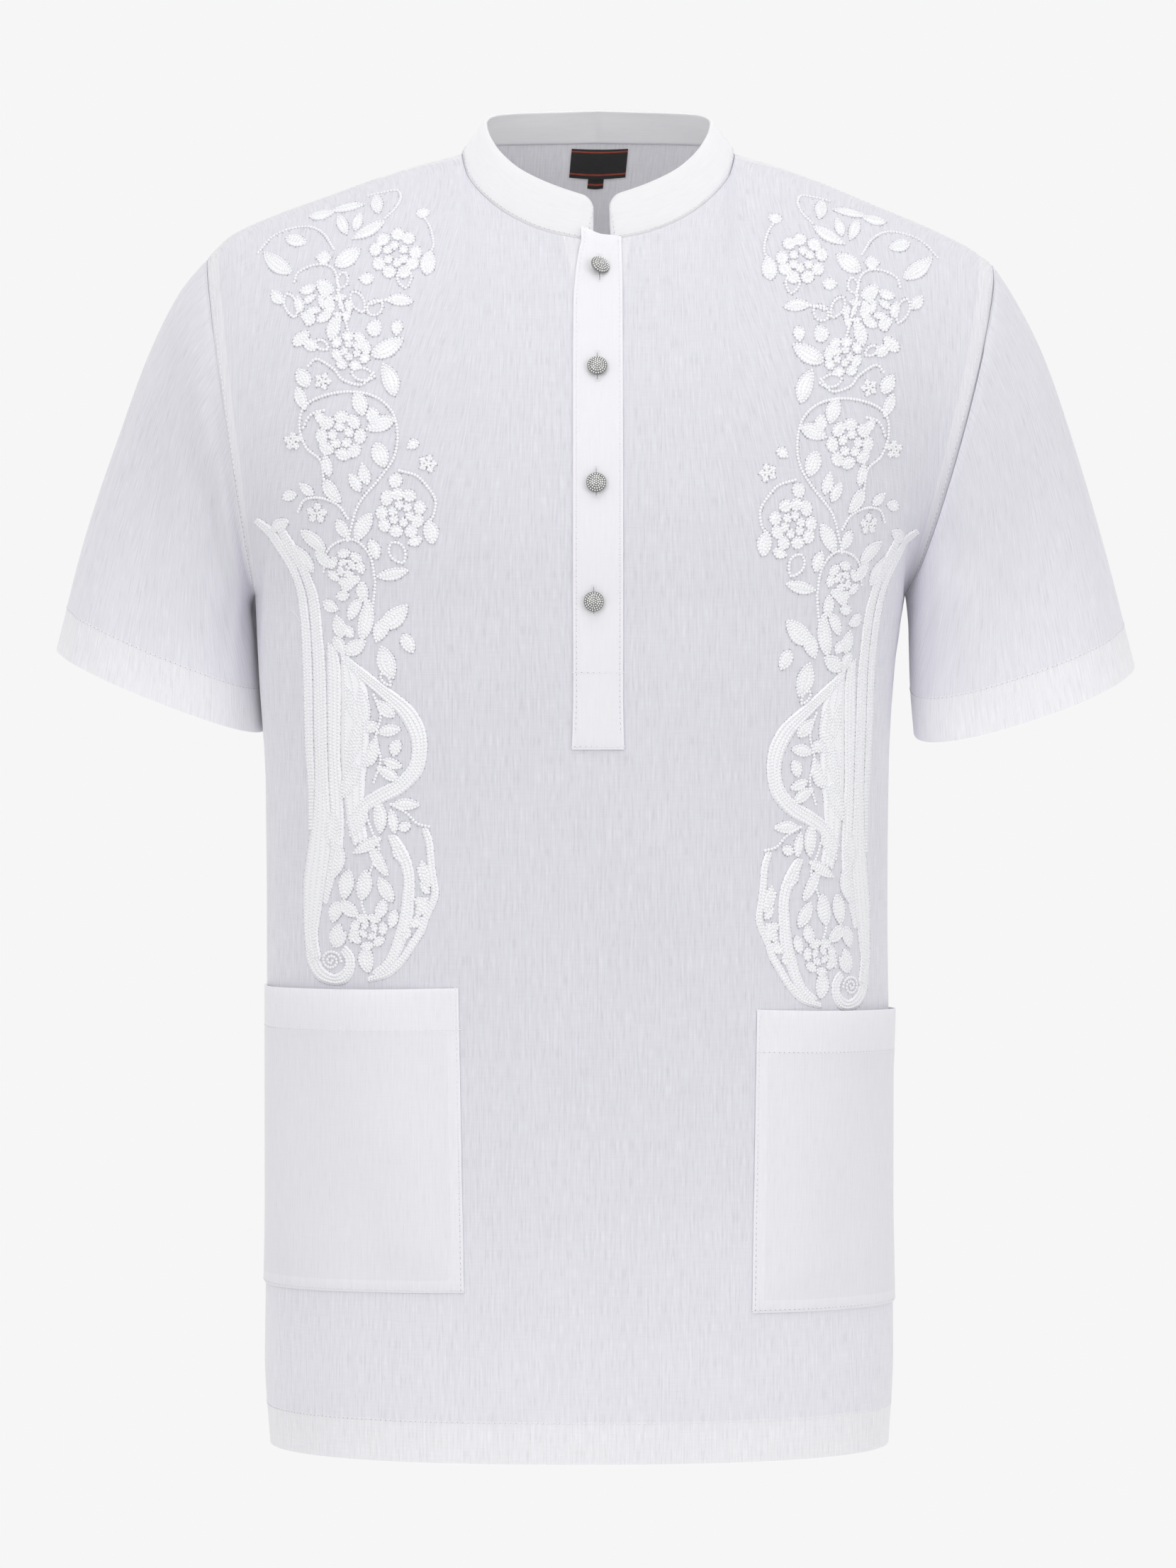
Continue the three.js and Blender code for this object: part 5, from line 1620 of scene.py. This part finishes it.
ROW = 2.0  # from row to row of the stitching inside a motif
STITCH = (2.35, 1.8, 0.9)  # length, width and height of a chain stitch
CORD_STITCH = (2.4, 2.3, 1.2)  # the same in a vine or an open outline
# size of a needle hole's dark grain of painted shade
HOLE = (0.62, 0.62, 0.4)
HOLE_PITCH = 3.3  # longer than the short lines that carry one hole each
SPLIT_Z = -232  # where each half's embroidery is divided into two pieces
LOOSE_STITCH = (0.6, 0.32, 0.32)
LOOSE_END = ((-174, -268.5), (-176.2, -264.6), (-178.4, -262.8), (-180.6, -263.4))
MIRROR_DROP = (3, 13)  # how much lower the mirrored half lies, at the top and more at the bottom


def seen_at(point):
    """Where the camera sees a point, as x and z in the plane y = 0, in millimetres."""
    rise = math.radians(CAMERA_RISE)
    aim = np.array(CAMERA_AIM) / MM
    way = np.array([0, math.cos(rise), -math.sin(rise)])
    eye = aim - way * CAMERA_AWAY / MM
    ray = np.asarray(point) - eye
    ray *= -eye[1] / ray[1]
    return eye[0] + ray[0], eye[2] + ray[2]


class Drape:
    """Where a place on the cloth lies in space. A place is the cloth's length from the centre
    line at its height, and the height."""

    def __init__(self, grid):
        points, normals = grid["points"], grid["normals"]
        self.heights = np.arange(HEM_Z + 2, 2, 2.0)
        self.spread = np.arange(-290, 290.5, 2.0)
        self.table = np.zeros((len(self.heights), len(self.spread), 6))
        for i, z in enumerate(self.heights):
            line = []
            for c in range(points.shape[1]):
                column = points[:, c, 2]
                if column[-1] < z:
                    continue
                k = min(max(int(np.searchsorted(column, z)), 1), len(column) - 1)
                share = (z - column[k - 1]) / max(column[k] - column[k - 1], 1e-6)
                both = [a[k - 1, c] + (a[k, c] - a[k - 1, c]) * share for a in (points, normals)]
                line.append(np.concatenate(both))
            line = np.array(line)
            if len(line) < 2:
                self.table[i] = self.table[i - 1]
                continue
            steps = np.linalg.norm(np.diff(line[:, :3], axis=0), axis=1)
            lengths = np.concatenate([[0], np.cumsum(steps)])
            lengths -= np.interp(0, line[:, 0], lengths)
            for k in range(6):
                self.table[i, :, k] = np.interp(self.spread, lengths, line[:, k])

    def at(self, places):
        """Points and normals at an array of places."""
        places = np.asarray(places, float)
        row = np.clip((places[:, 1] - self.heights[0]) / 2, 0, len(self.heights) - 1.001)
        column = np.clip((places[:, 0] - self.spread[0]) / 2, 0, len(self.spread) - 1.001)
        r, c = row.astype(int), column.astype(int)
        u, v = (row - r)[:, None], (column - c)[:, None]
        low = self.table[r, c] * (1 - v) + self.table[r, c + 1] * v
        high = self.table[r + 1, c] * (1 - v) + self.table[r + 1, c + 1] * v
        found = low * (1 - u) + high * u
        return found[:, :3], unit(found[:, 3:])

    def place(self, x, z):
        """The place on the cloth that is seen from the camera at x and z of the plane y = 0."""
        across, height = x, z
        for _ in range(4):
            i = int(np.clip(round((height - self.heights[0]) / 2), 0, len(self.heights) - 1))
            spot = np.array([np.interp(across, self.table[i, :, 0], self.spread), height])
            seen = seen_at(self.at([spot])[0][0])
            across += x - seen[0]
            height += z - seen[1]
        return spot

    def stretch(self, x, z):
        """How much longer the cloth is there than it is seen across."""
        a, b = self.place(x - 4, z), self.place(x + 4, z)
        return min(max((b[0] - a[0]) / 8, 1.0), 2.2)


def curve_through(points, step=1.2):
    """A smooth line through points, with a point about every step."""
    points = np.asarray(points, float)
    ends = np.concatenate([[2 * points[0] - points[1]], points, [2 * points[-1] - points[-2]]])
    line = [points[0]]
    for a, b, c, d in zip(ends, ends[1:], ends[2:], ends[3:]):
        count = max(int(np.linalg.norm(c - b) / step), 1)
        for t in np.arange(1, count + 1) / count:
            bow = (2 * a - 5 * b + 4 * c - d) * t**2 + (3 * b - a - 3 * c + d) * t**3
            line.append(0.5 * (2 * b + (c - a) * t + bow))
    return np.array(line)


def leaf_outline(long, wide, turn, bend=0.0, blunt=0.68, lean=0.85):
    """A closed outline. blunt: 1 for sharp ends, 0.5 for round ones. lean: under 1 the leaf is
    broadest nearer its start, over 1 nearer its tip."""
    angle = math.radians(turn)
    along = np.array([math.cos(angle), math.sin(angle)])
    across = np.array([-along[1], along[0]])
    t = (1 - np.cos(np.pi * np.linspace(0, 1, 12))) / 2
    t = np.concatenate([t, t[-2:0:-1]])
    side = np.concatenate([np.ones(12), -np.ones(10)])
    swell = np.sin(np.pi * np.clip(t, 1e-6, 1 - 1e-6) ** lean) ** blunt
    v = side * wide / 2 * swell + bend * wide * 4 * t * (1 - t)
    return ((2 * t - 1) * long / 2)[:, None] * along + v[:, None] * across


class Needlework:
    """What the needle makes on one half of the front, as places on its cloth."""

    def __init__(self, drape):
        self.drape = drape
        self.chance = random.Random(41)
        self.rows = []
        self.cords = []
        self.pads = []
        self.strips = []
        self.holes = []

    def lay(self, shape, x, z):
        """A shape in millimetres as it is seen, moved to x and z on the cloth."""
        wide = np.array([self.drape.stretch(x, z), 1.0])
        return self.drape.place(x, z) + shape * wide

    def pierce(self, line):
        """Needle holes at uneven steps beside a row of stitches, each drawn as a dark grain of painted
        shade.
        """
        steps = np.linalg.norm(np.diff(line, axis=0), axis=1)
        along = np.concatenate([[0], np.cumsum(steps)])
        at = self.chance.uniform(0, 3)
        while at < along[-1]:
            spot = np.array([np.interp(at, along, line[:, k]) for k in (0, 1)])
            self.holes.append(np.array([spot, spot + (0, 0.05)]))
            at += self.chance.choice((1.95, 3.9, 3.9, 5.85, 9.75))

    def petal(self, x, z, long, wide, turn, bend=0.0, blunt=0.68, lean=0.85, filled=True):
        """A petal or leaf: laid threads under rows of stitches, or its outline alone."""

        def outline(inset):
            return leaf_outline(long - 2 * inset, wide - 2 * inset, turn, bend, blunt, lean)

        edge = self.lay(outline(0.55 if filled else 0.9), x, z)
        (self.rows if filled else self.cords).append(np.concatenate([edge, edge[:1]]))
        beside = self.lay(outline(-0.45), x, z)
        self.pierce(np.concatenate([beside, beside[:1]]))
        if not filled:
            return
        self.pads.append(self.lay(outline(0.3), x, z))
        inset = 0.55 + ROW
        while wide / 2 - inset > 0.6:
            inner = self.lay(outline(inset), x, z)
            self.rows.append(np.concatenate([inner, inner[:1]]))
            inset += ROW
        if wide / 2 - inset > -0.6 * ROW:
            angle = math.radians(turn)
            reach = (long / 2 - 1.6) * np.linspace(-0.9, 0.9, 8)[:, None]
            spine = reach * (math.cos(angle), math.sin(angle))
            self.rows.append(self.lay(spine, x, z))

    def ring(self, x, z, radius, petals, turn, wide, long):
        """Petals in a ring. wide: across the ring. long: along it."""
        for k in range(petals):
            angle = turn + 360 * k / petals + self.chance.uniform(-6, 6)
            away = radius * self.chance.uniform(0.94, 1.06)
            way = math.radians(angle)
            place = (x + away * math.cos(way), z + away * math.sin(way))
            slant = self.chance.uniform(-22, 22)
            bend = self.chance.uniform(-0.08, 0.08)
            if long > wide:
                self.petal(*place, long, wide, angle + 90 + slant, bend, 0.52, 1.0)
            else:
                self.petal(*place, wide, long, angle + slant * 0.4, bend, 0.52, 1.25)

    def flower(self, x, z, radius, petals, turn):
        """A rose of two rings of round petals, or for a small one a single ring."""
        if radius < 8:
            long = 2 * math.pi * radius * 0.58 / petals
            self.ring(x, z, radius * 0.58, petals, turn, radius * 0.82, long * 0.95)
            self.petal(x, z, 2.4, 2.4, 0, 0, 0.5, 1.0)
            return
        inner = max(petals - 3, 3)
        long = 2 * math.pi * radius * 0.76 / petals
        self.ring(x, z, radius * 0.76, petals, turn, radius * 0.48, long * 1.02)
        long = 2 * math.pi * radius * 0.34 / inner
        self.ring(x, z, radius * 0.34, inner, turn + 25, radius * 0.36, long * 0.98)

    def vine(self, points):
        line = curve_through([self.drape.place(x, z) for x, z in points])
        self.cords.append(line)
        side = unit(np.gradient(line, axis=0))[:, ::-1] * (1, -1)
        self.pierce(line + side * 1.3)

    def band(self, count, outer, inner):
        """Rows side by side between two edges, over laid threads."""
        edges = []
        for points in (outer, inner):
            line = curve_through([self.drape.place(x, z) for x, z in points])
            steps = np.linalg.norm(np.diff(line, axis=0), axis=1)
            along = np.concatenate([[0], np.cumsum(steps)])
            even = np.linspace(0, along[-1], 110)
            edges.append(np.stack([np.interp(even, along, line[:, k]) for k in (0, 1)], axis=1))
        low, high = edges
        across = unit(high - low)
        for k in range(count):
            sway = 0.22 * np.sin(low[:, 1] / 7 + 2 * k)[:, None] * across
            self.rows.append(low + (high - low) * (k + 0.5) / count + sway)
            if k:
                self.pierce(low + (high - low) * k / count + sway)
        self.strips.append((low - across * 0.4, high + across * 0.4))
        self.pierce(low - across * 0.45)
        self.pierce(high + across * 0.45)

    def make(self):
        for x, z, long, wide, turn in zip(*LEAVES.values()):
            bend = self.chance.uniform(-0.1, 0.1)
            blunt = self.chance.uniform(0.56, 0.8)
            self.petal(x, z, long, wide + 1.0, turn, bend, blunt, self.chance.uniform(0.8, 1.2))
        for x, z, long, wide, turn in zip(*LOOPS.values()):
            self.petal(x, z, long, wide, turn, filled=False)
        for x, z, radius, petals, turn in zip(*FLOWERS.values()):
            self.flower(x, z, radius, int(petals), turn)
        for x, z, radius, turns in SPIRALS:
            t = np.linspace(0, 2 * np.pi * turns, 60)
            reach = radius * (1 - t / t[-1]) + 0.8
            coil = np.stack([reach * np.cos(t), reach * np.sin(t)], axis=1)
            self.cords.append(self.lay(coil, x, z))
        for points in VINES:
            self.vine(points)
        for count, outer, inner in BANDS:
            self.band(count, outer, inner)


def half_of(places, sign):
    """The places on the half at one side: the other half is mirrored and lies a little lower."""
    places = np.array(places, float)
    if sign > 0:
        places[:, 0] = -places[:, 0]
        places[:, 1] -= MIRROR_DROP[0] + MIRROR_DROP[1] * smooth(-60, -480, places[:, 1])
    return places


def laid_threads(name, drape, work, sign, material):
    """Low closed pads of laid thread: under each petal, and along each band."""
    made = bmesh.new()

    def rows_of(lines, lifts):
        rows = []
        for line, lift in zip(lines, lifts):
            points, outs = drape.at(half_of(line, sign))
            rows.append([made.verts.new(point * MM) for point in points + outs * lift])
        return rows

    for pad in work.pads:
        centre = pad.mean(axis=0)
        rings = [centre + (pad - centre) * share for share in (1.0, 1.0, 0.86, 0.5)]
        rows = rows_of(rings, (-0.3, 0.1, 0.42, 0.6))
        for low, high in zip(rows, rows[1:]):
            for k in range(len(low)):
                made.faces.new((low[k - 1], low[k], high[k], high[k - 1]))
        made.faces.new(rows[-1])
        made.faces.new(rows[0])
    for low, high in work.strips:
        shares = (0, 0, 0.12, 0.5, 0.88, 1, 1)
        lines = [low + (high - low) * share for share in shares]
        rows = rows_of(lines, (-0.3, 0.1, 0.42, 0.5, 0.42, 0.1, -0.3))
        for one, other in zip(rows, rows[1:] + rows[:1]):
            for k in range(len(one) - 1):
                made.faces.new((one[k], one[k + 1], other[k + 1], other[k]))
        made.faces.new([row[0] for row in rows])
        made.faces.new([row[-1] for row in rows])
    bmesh.ops.recalc_face_normals(made, faces=made.faces[:])
    mesh = bpy.data.meshes.new(name)
    made.to_mesh(mesh)
    made.free()
    mesh.shade_smooth()
    return new_object(name, mesh, material)


class FATUA_OT_embroidery(bpy.types.Operator):
    """Embroider flowers, leaves, vines and bands in thick white chain stitch on both halves"""

    bl_idname = "fatua.embroidery"
    bl_label = "Embroidery"

    def execute(self, context):
        drape = Drape(GRIDS["front"])
        work = Needlework(drape)
        work.make()
        pitch = size_of("chain")
        white = material_of("embroidery")
        for side, sign in (("left", -1), ("right", 1)):
            pads = laid_threads(f"embroidery_laid_{side}", drape, work, sign, white)
            settle(pads, "cotton_ply")
            for part, low, high in (("upper", SPLIT_Z, 100), ("lower", -900, SPLIT_Z)):
                for kind, lines, step, size, lift, finish in (
                    ("embroidery", work.rows, pitch, STITCH, 0.4, "embroidery"),
                    ("embroidery_vines", work.cords, pitch, CORD_STITCH, 0.3, "embroidery"),
                    # dark grains of painted shade in the needle holes
                    ("needle_hole_shade", work.holes, HOLE_PITCH, HOLE, 0.1, "hole"),
                ):
                    laid = []
                    for line in lines:
                        if not low <= line[:, 1].mean() < high or len(line) < 2:
                            continue
                        points, outs = drape.at(half_of(line, sign))
                        laid.append((points + outs * lift, outs))
                    name = f"{kind}_{side}_{part}"
                    form = COARSE if finish == "hole" else ROUND
                    piece = stitched(name, laid, step, size, material_of(finish), form)
                    settle(piece, "cotton_ply")
        end = curve_through([drape.place(x, z) for x, z in LOOSE_END], 0.5)
        points, outs = drape.at(end)
        rise = np.sin(np.pi * np.linspace(0.1, 0.9, len(end)))[:, None]
        line = (points + outs * rise, outs)
        loose = stitched("loose_thread", [line], 0.4, LOOSE_STITCH, material_of("thread"))
        settle(loose, "cotton_ply")
        return {"FINISHED"}


# ---- the stage ------------------------------------------------------------------------------


# Metres from here on.
SWEEP_TOP = 5.0
SWEEP_STEPS = 96
FLOOR_Z = -3.0
FLOOR_RADII = (0.001, 3.0, 6.5)
COVE = 1.0  # radius of the cove between the floor and the wall
PAPER = "f6f6f6"
# Each light's place, aim and size, and its share of the main light's power.
LIGHTS = {
    "key": ((-2.1, -4.2, 1.6), (0, 0, -0.3), (2.6, 2.6), 1.0),
    "fill": ((3.1, -3.7, 1.0), (0, 0, -0.3), (2.6, 2.6), 0.85),
    "top": ((0.0, -1.4, 3.0), (0, 0, -0.1), (2.6, 1.6), 0.6),
}


def area_light(name, place, aim, size, power):
    lamp = bpy.data.lights.new(name, "AREA")
    lamp.shape = "RECTANGLE"
    lamp.size, lamp.size_y = size
    lamp.energy = power
    made = bpy.data.objects.new(name, lamp)
    bpy.context.scene.collection.objects.link(made)
    made.location = place
    made.rotation_euler = (Vector(aim) - Vector(place)).to_track_quat("-Z", "Y").to_euler()
    made.visible_camera = False


def sweep_mesh():
    """A round sweep: the floor, a cove and a wall that stands all about the camera."""
    profile = [(radius, FLOOR_Z) for radius in FLOOR_RADII]
    for degrees in range(10, 91, 10):
        turn = math.radians(degrees)
        profile.append((SWEEP_RADIUS - COVE + math.sin(turn), FLOOR_Z + COVE - math.cos(turn)))
    profile.append((SWEEP_RADIUS, SWEEP_TOP))
    vertices = []
    for radius, height in profile:
        for k in range(SWEEP_STEPS):
            turn = 2 * math.pi * k / SWEEP_STEPS
            vertices.append((radius * math.cos(turn), radius * math.sin(turn), height))
    faces = []
    for i in range(len(profile) - 1):
        for k in range(SWEEP_STEPS):
            a, b = i * SWEEP_STEPS + k, i * SWEEP_STEPS + (k + 1) % SWEEP_STEPS
            faces.append((a + SWEEP_STEPS, b + SWEEP_STEPS, b, a))
    mesh = bpy.data.meshes.new("sweep")
    mesh.from_pydata(vertices, [], faces)
    mesh.shade_smooth()
    return mesh


class FATUA_OT_stage(bpy.types.Operator):
    """Set the camera, the soft studio lights and the pale sweep behind and below the tunic"""

    bl_idname = "fatua.stage"
    bl_label = "Stage"

    def execute(self, context):
        scene = context.scene
        camera = bpy.data.cameras.new("camera")
        camera.sensor_fit = "VERTICAL"
        camera.sensor_height = SENSOR_TALL
        camera.lens = CAMERA_LENS
        eye = bpy.data.objects.new("camera", camera)
        scene.collection.objects.link(eye)
        aim = Vector(CAMERA_AIM)
        rise = math.radians(CAMERA_RISE)
        eye.location = aim + CAMERA_AWAY * Vector((0, -math.cos(rise), math.sin(rise)))
        eye.rotation_euler = (aim - eye.location).to_track_quat("-Z", "Y").to_euler()
        scene.camera = eye
        scene.view_settings.view_transform = "Standard"

        world = bpy.data.worlds.new("studio")
        world.use_nodes = True
        sky = world.node_tree.nodes["Background"]
        sky.inputs["Color"].default_value = (1, 1, 1, 1)
        sky.inputs["Strength"].default_value = scene.fatua_stage.sky
        scene.world = world

        new_object("sweep", sweep_mesh(), studio_paper("background_paper", PAPER))
        for name, (place, aim, size, share) in LIGHTS.items():
            area_light(name, place, aim, size, scene.fatua_stage.key * share)
        return {"FINISHED"}


# ---- the sidebar ----------------------------------------------------------------------------


def colour_property(name, description, code):
    """A colour that keeps its sRGB value."""
    return FloatVectorProperty(
        name=name,
        description=description,
        subtype="COLOR_GAMMA",
        size=3,
        min=0,
        max=1,
        default=[int(code[i : i + 2], 16) / 255 for i in (0, 2, 4)],
    )


class FatuaColours(bpy.types.PropertyGroup):
    ply: colour_property("Cloth", "Single cloth of the body and the sleeves", "e4e3ec")
    turned: colour_property("Turned cloth", "Hems and seam allowances", "edecf1")
    pocket: colour_property("Pocket", "Pocket cloth over the front", "e7e6ec")
    pocket_turned: colour_property("Pocket hem", "Turned cloth of the pockets", "ebeaef")
    collar: colour_property("Collar", "Stand band of the neck", "f2f1f5")
    placket: colour_property("Placket", "Both strips of the placket", "e9e8ed")
    thread: colour_property("Thread", "Sewing thread", "ecebef")
    embroidery: colour_property("Embroidery", "Embroidery thread", "ebebee")
    # hole: painted shade in the needle holes and the buttonhole cuts
    hole: colour_property("Needle holes", "Thread in the shadow of the needle holes", "8f8c95")
    # metal: the buttons' grey, darkened for painted shade between the pebbles; pebble_glint: painted
    # highlights on the pebbles
    metal: colour_property("Metal", "Plate of the buttons, in its hollows", "8c8c8a")
    pebble_glint: colour_property("Painted pebble glint", "Plate on the buttons' pebbles", "f6f6f6")
    label: colour_property("Label", "Ground of the label", "1b1818")
    band: colour_property("Label band", "Bands across the label", "a5432b")


def length_property(name, description, default):
    return FloatProperty(
        name=name, description=description, default=default, min=0.0001, unit="LENGTH", precision=5
    )


class FatuaSizes(bpy.types.PropertyGroup):
    wall: length_property("Cloth", "Thickness of the cloth as it is shown", 0.0006)
    button: length_property("Button", "Radius of the buttons", 0.0057)
    sewing: length_property("Sewing pitch", "From stitch to stitch of the sewing", 0.0031)
    chain: length_property("Chain pitch", "From stitch to stitch of the embroidery", 0.00195)


class FatuaStage(bpy.types.PropertyGroup):
    sky: FloatProperty(name="Sky", description="Strength of the even light", default=0.6, min=0)
    key: FloatProperty(
        name="Key", description="Power of the main light", default=57, min=0, unit="POWER"
    )


OPERATORS = (
    FATUA_OT_stage,
    FATUA_OT_front,
    FATUA_OT_back,
    FATUA_OT_sleeves,
    FATUA_OT_collar,
    FATUA_OT_placket,
    FATUA_OT_pockets,
    FATUA_OT_buttons,
    FATUA_OT_label,
    FATUA_OT_topstitching,
    FATUA_OT_embroidery,
)


class FATUA_PT_panel(bpy.types.Panel):
    """Buttons that make the tunic's pieces, and its sizes and colours"""

    bl_idname = "FATUA_PT_panel"
    bl_label = "Fatua"
    bl_space_type = "VIEW_3D"
    bl_region_type = "UI"
    bl_category = "Fatua"

    def draw(self, context):
        for operator in OPERATORS:
            self.layout.operator(operator.bl_idname)
        for group in GROUPS:
            values = getattr(context.scene, group)
            for name in values.bl_rna.properties.keys():
                if name not in ("rna_type", "name"):
                    self.layout.prop(values, name)


GROUPS = {"fatua_sizes": FatuaSizes, "fatua_colours": FatuaColours, "fatua_stage": FatuaStage}
CLASSES = (*GROUPS.values(), *OPERATORS, FATUA_PT_panel)


def register():
    for cls in CLASSES:
        bpy.utils.register_class(cls)
    for name, group in GROUPS.items():
        setattr(bpy.types.Scene, name, PointerProperty(type=group))


def unregister():
    for name in GROUPS:
        delattr(bpy.types.Scene, name)
    for cls in reversed(CLASSES):
        bpy.utils.unregister_class(cls)


def main():
    register()
    for operator in OPERATORS:
        group, name = operator.bl_idname.split(".")
        getattr(getattr(bpy.ops, group), name)()
    bpy.context.view_layer.update()


if __name__ == "__main__":
    main()
